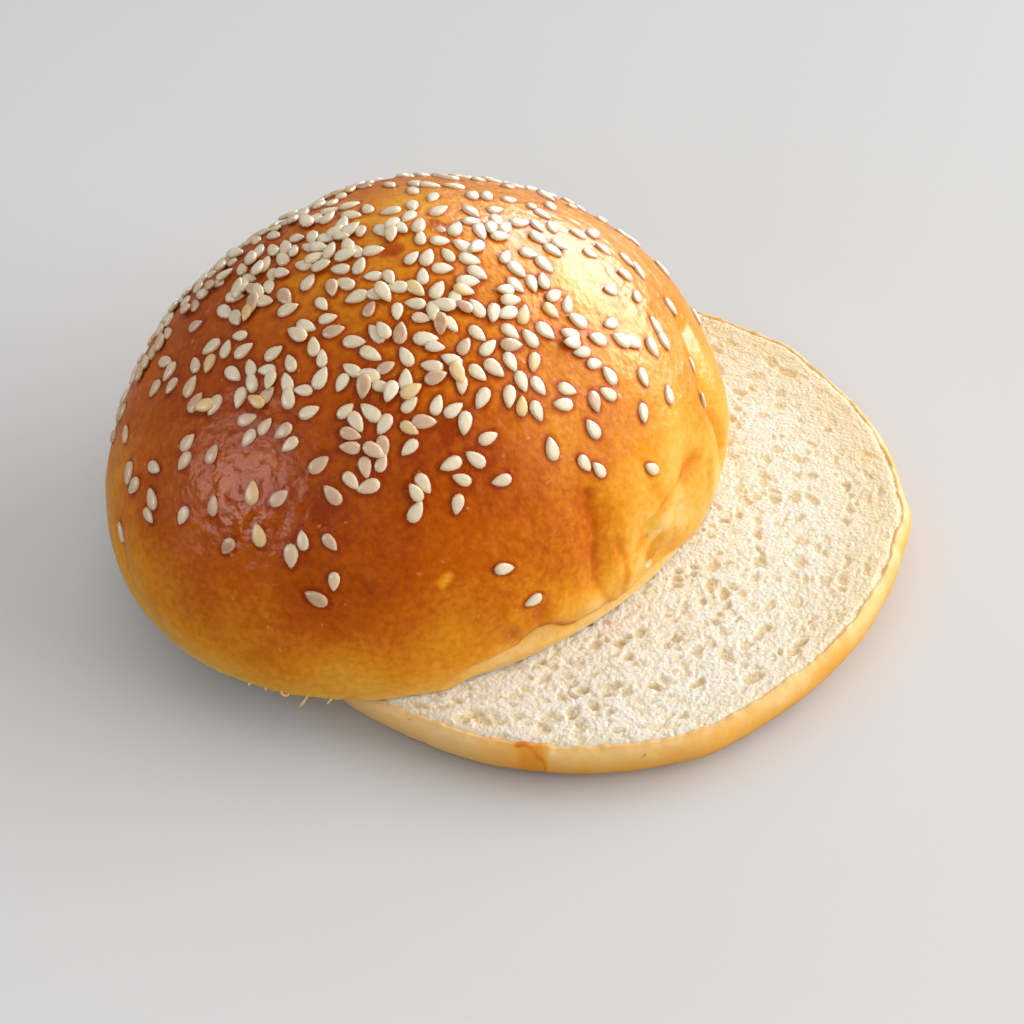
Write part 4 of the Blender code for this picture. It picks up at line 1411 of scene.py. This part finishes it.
# %% Heel crust material
WALL_COLOURS = (
    (0.0, (0.44, 0.14, 0.02)),
    (0.06, (0.66, 0.27, 0.04)),
    (0.28, (0.84, 0.37, 0.045)),
    (0.75, (0.90, 0.45, 0.075)),
    (1.0, (0.92, 0.58, 0.21)),
)
MOTTLE_COLOUR = (0.86, 0.44, 0.11)
PALE_COLOUR = (0.88, 0.62, 0.28)
DUST_COLOUR = (0.45, 0.17, 0.04)
DRIP_COLOURS = ((0.7, (0.86, 0.33, 0.018)), (1.0, (0.70, 0.20, 0.005)))
baked, tree, shader, place = start_material("tray_baked_crust")
wall_share = attribute(tree, "height")
broad = use_group(tree, mottle, place, Size=110.0, Low=0.3, High=0.7)
close = use_group(tree, mottle, place, Size=520.0, Low=0.35, High=0.7)
colour = ramp(tree, sway(tree, wall_share, broad, 0.35, clamp=True), WALL_COLOURS)
colour = tint(tree, colour, close, 0.25, MOTTLE_COLOUR)
colour = tint(tree, colour, attribute(tree, "pale"), 0.6, PALE_COLOUR)
dust = use_group(tree, specks, place, Size=600.0, Rarity=0.9, Radius=0.24)
colour = tint(tree, colour, dust, 0.5, DUST_COLOUR)
drip = attribute(tree, "drip")
drip_share = maths(tree, "MULTIPLY", drip, 1.2, True)
colour = blend_colours(tree, drip_share, colour, ramp(tree, drip, DRIP_COLOURS))
fine_grain = use_group(tree, grain, place, Size=1000.0, Share=0.5)
finish(tree, shader, colour, fine_grain, 0.4, 0.1 * MM, Roughness=0.62, Specular_IOR_Level=0.2)
heel.data.materials.append(baked)
print("material:", baked.name)

# %% [markdown]
# The crumb is white where it was cut, and the shade inside its bubbles is painted: deeper
# places get a darker, warmer colour. Light goes a little way into it, which softens its
# shadows. Pores too small for the mesh are specks of painted shade.

# %% Crumb material
PIT_SHADE_COLOURS = ((0.0, (0.95, 0.91, 0.81)), (0.3, (0.89, 0.78, 0.54)), (1.0, (0.79, 0.58, 0.26)))
FLUFF_COLOUR = (0.94, 0.90, 0.80)
TINY_PORE_SHADE = (0.83, 0.67, 0.37)
BORDER_COLOUR = (0.86, 0.62, 0.28)
crumb, tree, shader, place = start_material("white_crumb")
pit_shade = attribute(tree, "pit_shade")
warm = attribute(tree, "warm")
# Painted shade: the deeper a place, the darker and warmer its colour.
colour = ramp(tree, pit_shade, PIT_SHADE_COLOURS)
close = use_group(tree, mottle, place, Size=500.0, Low=0.35, High=0.65)
colour = tint(tree, colour, close, 0.3, FLUFF_COLOUR)
# Painted shade: dark specks stand in for pores too small for the mesh.
tiny_pore_shade = use_group(tree, specks, place, Size=850.0, Rarity=0.4, Radius=0.33)
colour = tint(tree, colour, tiny_pore_shade, 0.6, TINY_PORE_SHADE)
colour = tint(tree, colour, warm, 0.75, BORDER_COLOUR)
fine_grain = use_group(tree, grain, place, Size=1700.0, Share=0.5)
finish(tree, shader, colour, fine_grain, 0.7, 0.45 * MM, Roughness=0.85, Specular_IOR_Level=0.2)
shader.inputs["Subsurface Weight"].default_value = 0.5
shader.inputs["Subsurface Radius"].default_value = (1.0, 0.8, 0.5)
shader.inputs["Subsurface Scale"].default_value = 1.2 * MM
for piece in (heel_crumb, crown_crumb):
    piece.data.materials.append(crumb)
print("material:", crumb.name)

# %% [markdown]
# Each seed has its own tone, from cream through tan to toasted orange, with fine streaks
# along it and a rim of another tone: darker on cream seeds, partly glaze and partly painted
# contact shade, and paler on tan ones.

# %% Seed material
HUSK_TONES = (
    (0.0, (0.90, 0.80, 0.60)),
    (0.4, (0.85, 0.72, 0.49)),
    (0.7, (0.77, 0.53, 0.33)),
    (0.82, (0.64, 0.40, 0.26)),
    (0.9, (0.50, 0.24, 0.11)),
    (0.94, (0.86, 0.60, 0.26)),
    (1.0, (0.82, 0.50, 0.14)),
)
# On cream seeds the darker rim is partly glaze, partly painted contact shade.
RIM_TONES = (
    (0.0, (0.74, 0.53, 0.28)),
    (0.4, (0.74, 0.54, 0.30)),
    (0.6, (0.84, 0.68, 0.46)),
    (1.0, (0.76, 0.50, 0.20)),
)
STREAK_COLOUR = (0.74, 0.57, 0.34)
husk, tree, shader, place = start_material("sesame_husk")
tone = attribute(tree, "tone")
streaks = use_group(tree, mottle, place, Size=900.0, Low=0.35, High=0.7)
colour = tint(tree, ramp(tree, tone, HUSK_TONES), streaks, 0.3, STREAK_COLOUR)
colour = tint(tree, colour, attribute(tree, "rim"), 0.6, ramp(tree, tone, RIM_TONES))
fine_grain = use_group(tree, grain, place, Size=1600.0, Share=0.4)
finish(tree, shader, colour, fine_grain, 0.3, 0.1 * MM, Roughness=0.45, Coat_Weight=0.1)
seeds.data.materials.append(husk)
print("material:", husk.name)

# %% [markdown]
# The threads are as pale as the crumb that they were torn from, and the strands are as
# golden as the crust. Both are so thin that two mottled colours are enough.

# %% Fibre and strand materials
def two_tone(name, first, second, roughness, piece, **spots):
    """A plain material that mottles between two colours."""
    made, tree, shader, place = start_material(name)
    close = use_group(tree, mottle, place, **spots)
    tree.links.new(blend_colours(tree, close, first, second), shader.inputs["Base Color"])
    shader.inputs["Roughness"].default_value = roughness
    piece.data.materials.append(made)


fibre_colours = (0.95, 0.90, 0.78), (0.93, 0.84, 0.62)
strand_colours = (0.80, 0.42, 0.10), (0.90, 0.66, 0.34)
two_tone("crumb_fibre", *fibre_colours, 0.9, fluff, Size=300.0, Low=0.35, High=0.65)
two_tone("torn_crust", *strand_colours, 0.6, strands, Size=900.0, Low=0.3, High=0.7)
print("materials:", [material.name for material in bpy.data.materials])

# %% [markdown]
# ## Floor, light and camera
#
# The bun lies on a plain pale floor in a bright room. The room is a white surround that is
# brighter at the back, and dimmer in mirrored rays, so that it doesn't veil the brown glaze.

# %% Floor and room
FLOOR_SIZE = 6
FLOOR_COLOUR = (0.7, 0.7, 0.7, 1)
ROOM_COLOUR = (0.97, 0.98, 1.0, 1)
ROOM_BRIGHT_SIDE = (0.3, 0.9, 0.3)
ROOM_STRENGTHS = (0.1, 0.85)
ROOM_IN_GLOSS = 0.6

deselect()
bpy.ops.mesh.primitive_plane_add(size=FLOOR_SIZE)
floor = new_piece("floor")
pale, tree, shader, place = start_material("pale_floor")
shader.inputs["Base Color"].default_value = FLOOR_COLOUR
shader.inputs["Specular IOR Level"].default_value = 0.0
floor.data.materials.append(pale)
floor.visible_glossy = False

world = bpy.data.worlds.new("white_room")
scene.world = world
world.use_nodes = True
background = world.node_tree.nodes["Background"]
room = world.node_tree
facing = add_node(room, "ShaderNodeVectorMath", operation="DOT_PRODUCT")
room.links.new(add_node(room, "ShaderNodeTexCoord").outputs["Generated"], facing.inputs[0])
facing.inputs[1].default_value = ROOM_BRIGHT_SIDE
bright = spread(room, facing.outputs["Value"], -0.5, 0.7, *ROOM_STRENGTHS)
glossy_ray = add_node(room, "ShaderNodeLightPath").outputs["Is Glossy Ray"]
dimmed = maths(room, "SUBTRACT", 1.0, maths(room, "MULTIPLY", glossy_ray, ROOM_IN_GLOSS))
room.links.new(maths(room, "MULTIPLY", bright, dimmed), background.inputs["Strength"])
background.inputs["Color"].default_value = ROOM_COLOUR
print("room:", world.name)

# %% [markdown]
# Four soft windows light the bun. The one on the right warms that side. The bright one
# behind it and the cool one on the left only make sheen on the glaze, and the one in front
# only fills the shade. The camera looks down from the front.

# %% Windows and camera
AIM_HEIGHT = 30 * MM
CAMERA_SHIFT = Vector((-11.417, -258.947, 246.88)) * MM
CAMERA_TURN = (47.2971, -0.0905, 0.2849)


def add_window(name, towards, distance, width, height, watts, colour):
    """A soft area light that looks at the bun from one direction."""
    light = bpy.data.lights.new(name, "AREA")
    light.shape = "RECTANGLE"
    light.size, light.size_y = width, height
    light.energy = watts
    light.color = colour
    lamp = bpy.data.objects.new(name, light)
    scene.collection.objects.link(lamp)
    away = Vector(towards).normalized()
    lamp.location = Vector((0, 0, AIM_HEIGHT)) + away * distance
    lamp.rotation_euler = away.to_track_quat("Z", "Y").to_euler()
    return lamp


add_window("right_window", (0.9, 0.04, 0.42), 0.9, 1.2, 0.6, 8.3, (1.0, 0.985, 0.96))
sheen = add_window("sheen_window", (0.64, 0.68, 0.40), 0.9, 0.9, 0.6, 38, (1.0, 0.96, 0.99))
sheen.visible_diffuse = False
left = add_window("left_window", (-0.81, -0.38, 0.42), 0.8, 0.5, 0.34, 6, (0.88, 0.88, 1.0))
left.visible_diffuse = False
fill = add_window("front_fill", (-0.2, -0.75, 0.6), 1.0, 1.2, 0.8, 3.2, (1.0, 0.97, 0.94))
fill.visible_glossy = False

camera = bpy.data.objects.new("camera", bpy.data.cameras.new("camera"))
scene.collection.objects.link(camera)
camera.location = HEEL_MIDDLE + CAMERA_SHIFT
camera.rotation_euler = [math.radians(turn) for turn in CAMERA_TURN]
camera.data.lens = 78.634
camera.data.sensor_width = 36
camera.data.clip_start = 0.01
scene.camera = camera
scene.view_settings.view_transform = "Standard"
scene.cycles.max_bounces = 4
scene.cycles.diffuse_bounces = 2
print("lights:", len(bpy.data.lights))

# %% [markdown]
# ## The pieces and the bun's body
#
# Each new piece is tied to the bun's one body, and the plain solids of the crown and the
# heel are hidden.

# %% Tie the pieces to the bun
for piece in (crown, crown_crumb, heel, heel_crumb, seeds, fluff, strands):
    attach(piece, "root")
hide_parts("crown")
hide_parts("heel")
bpy.context.view_layer.update()
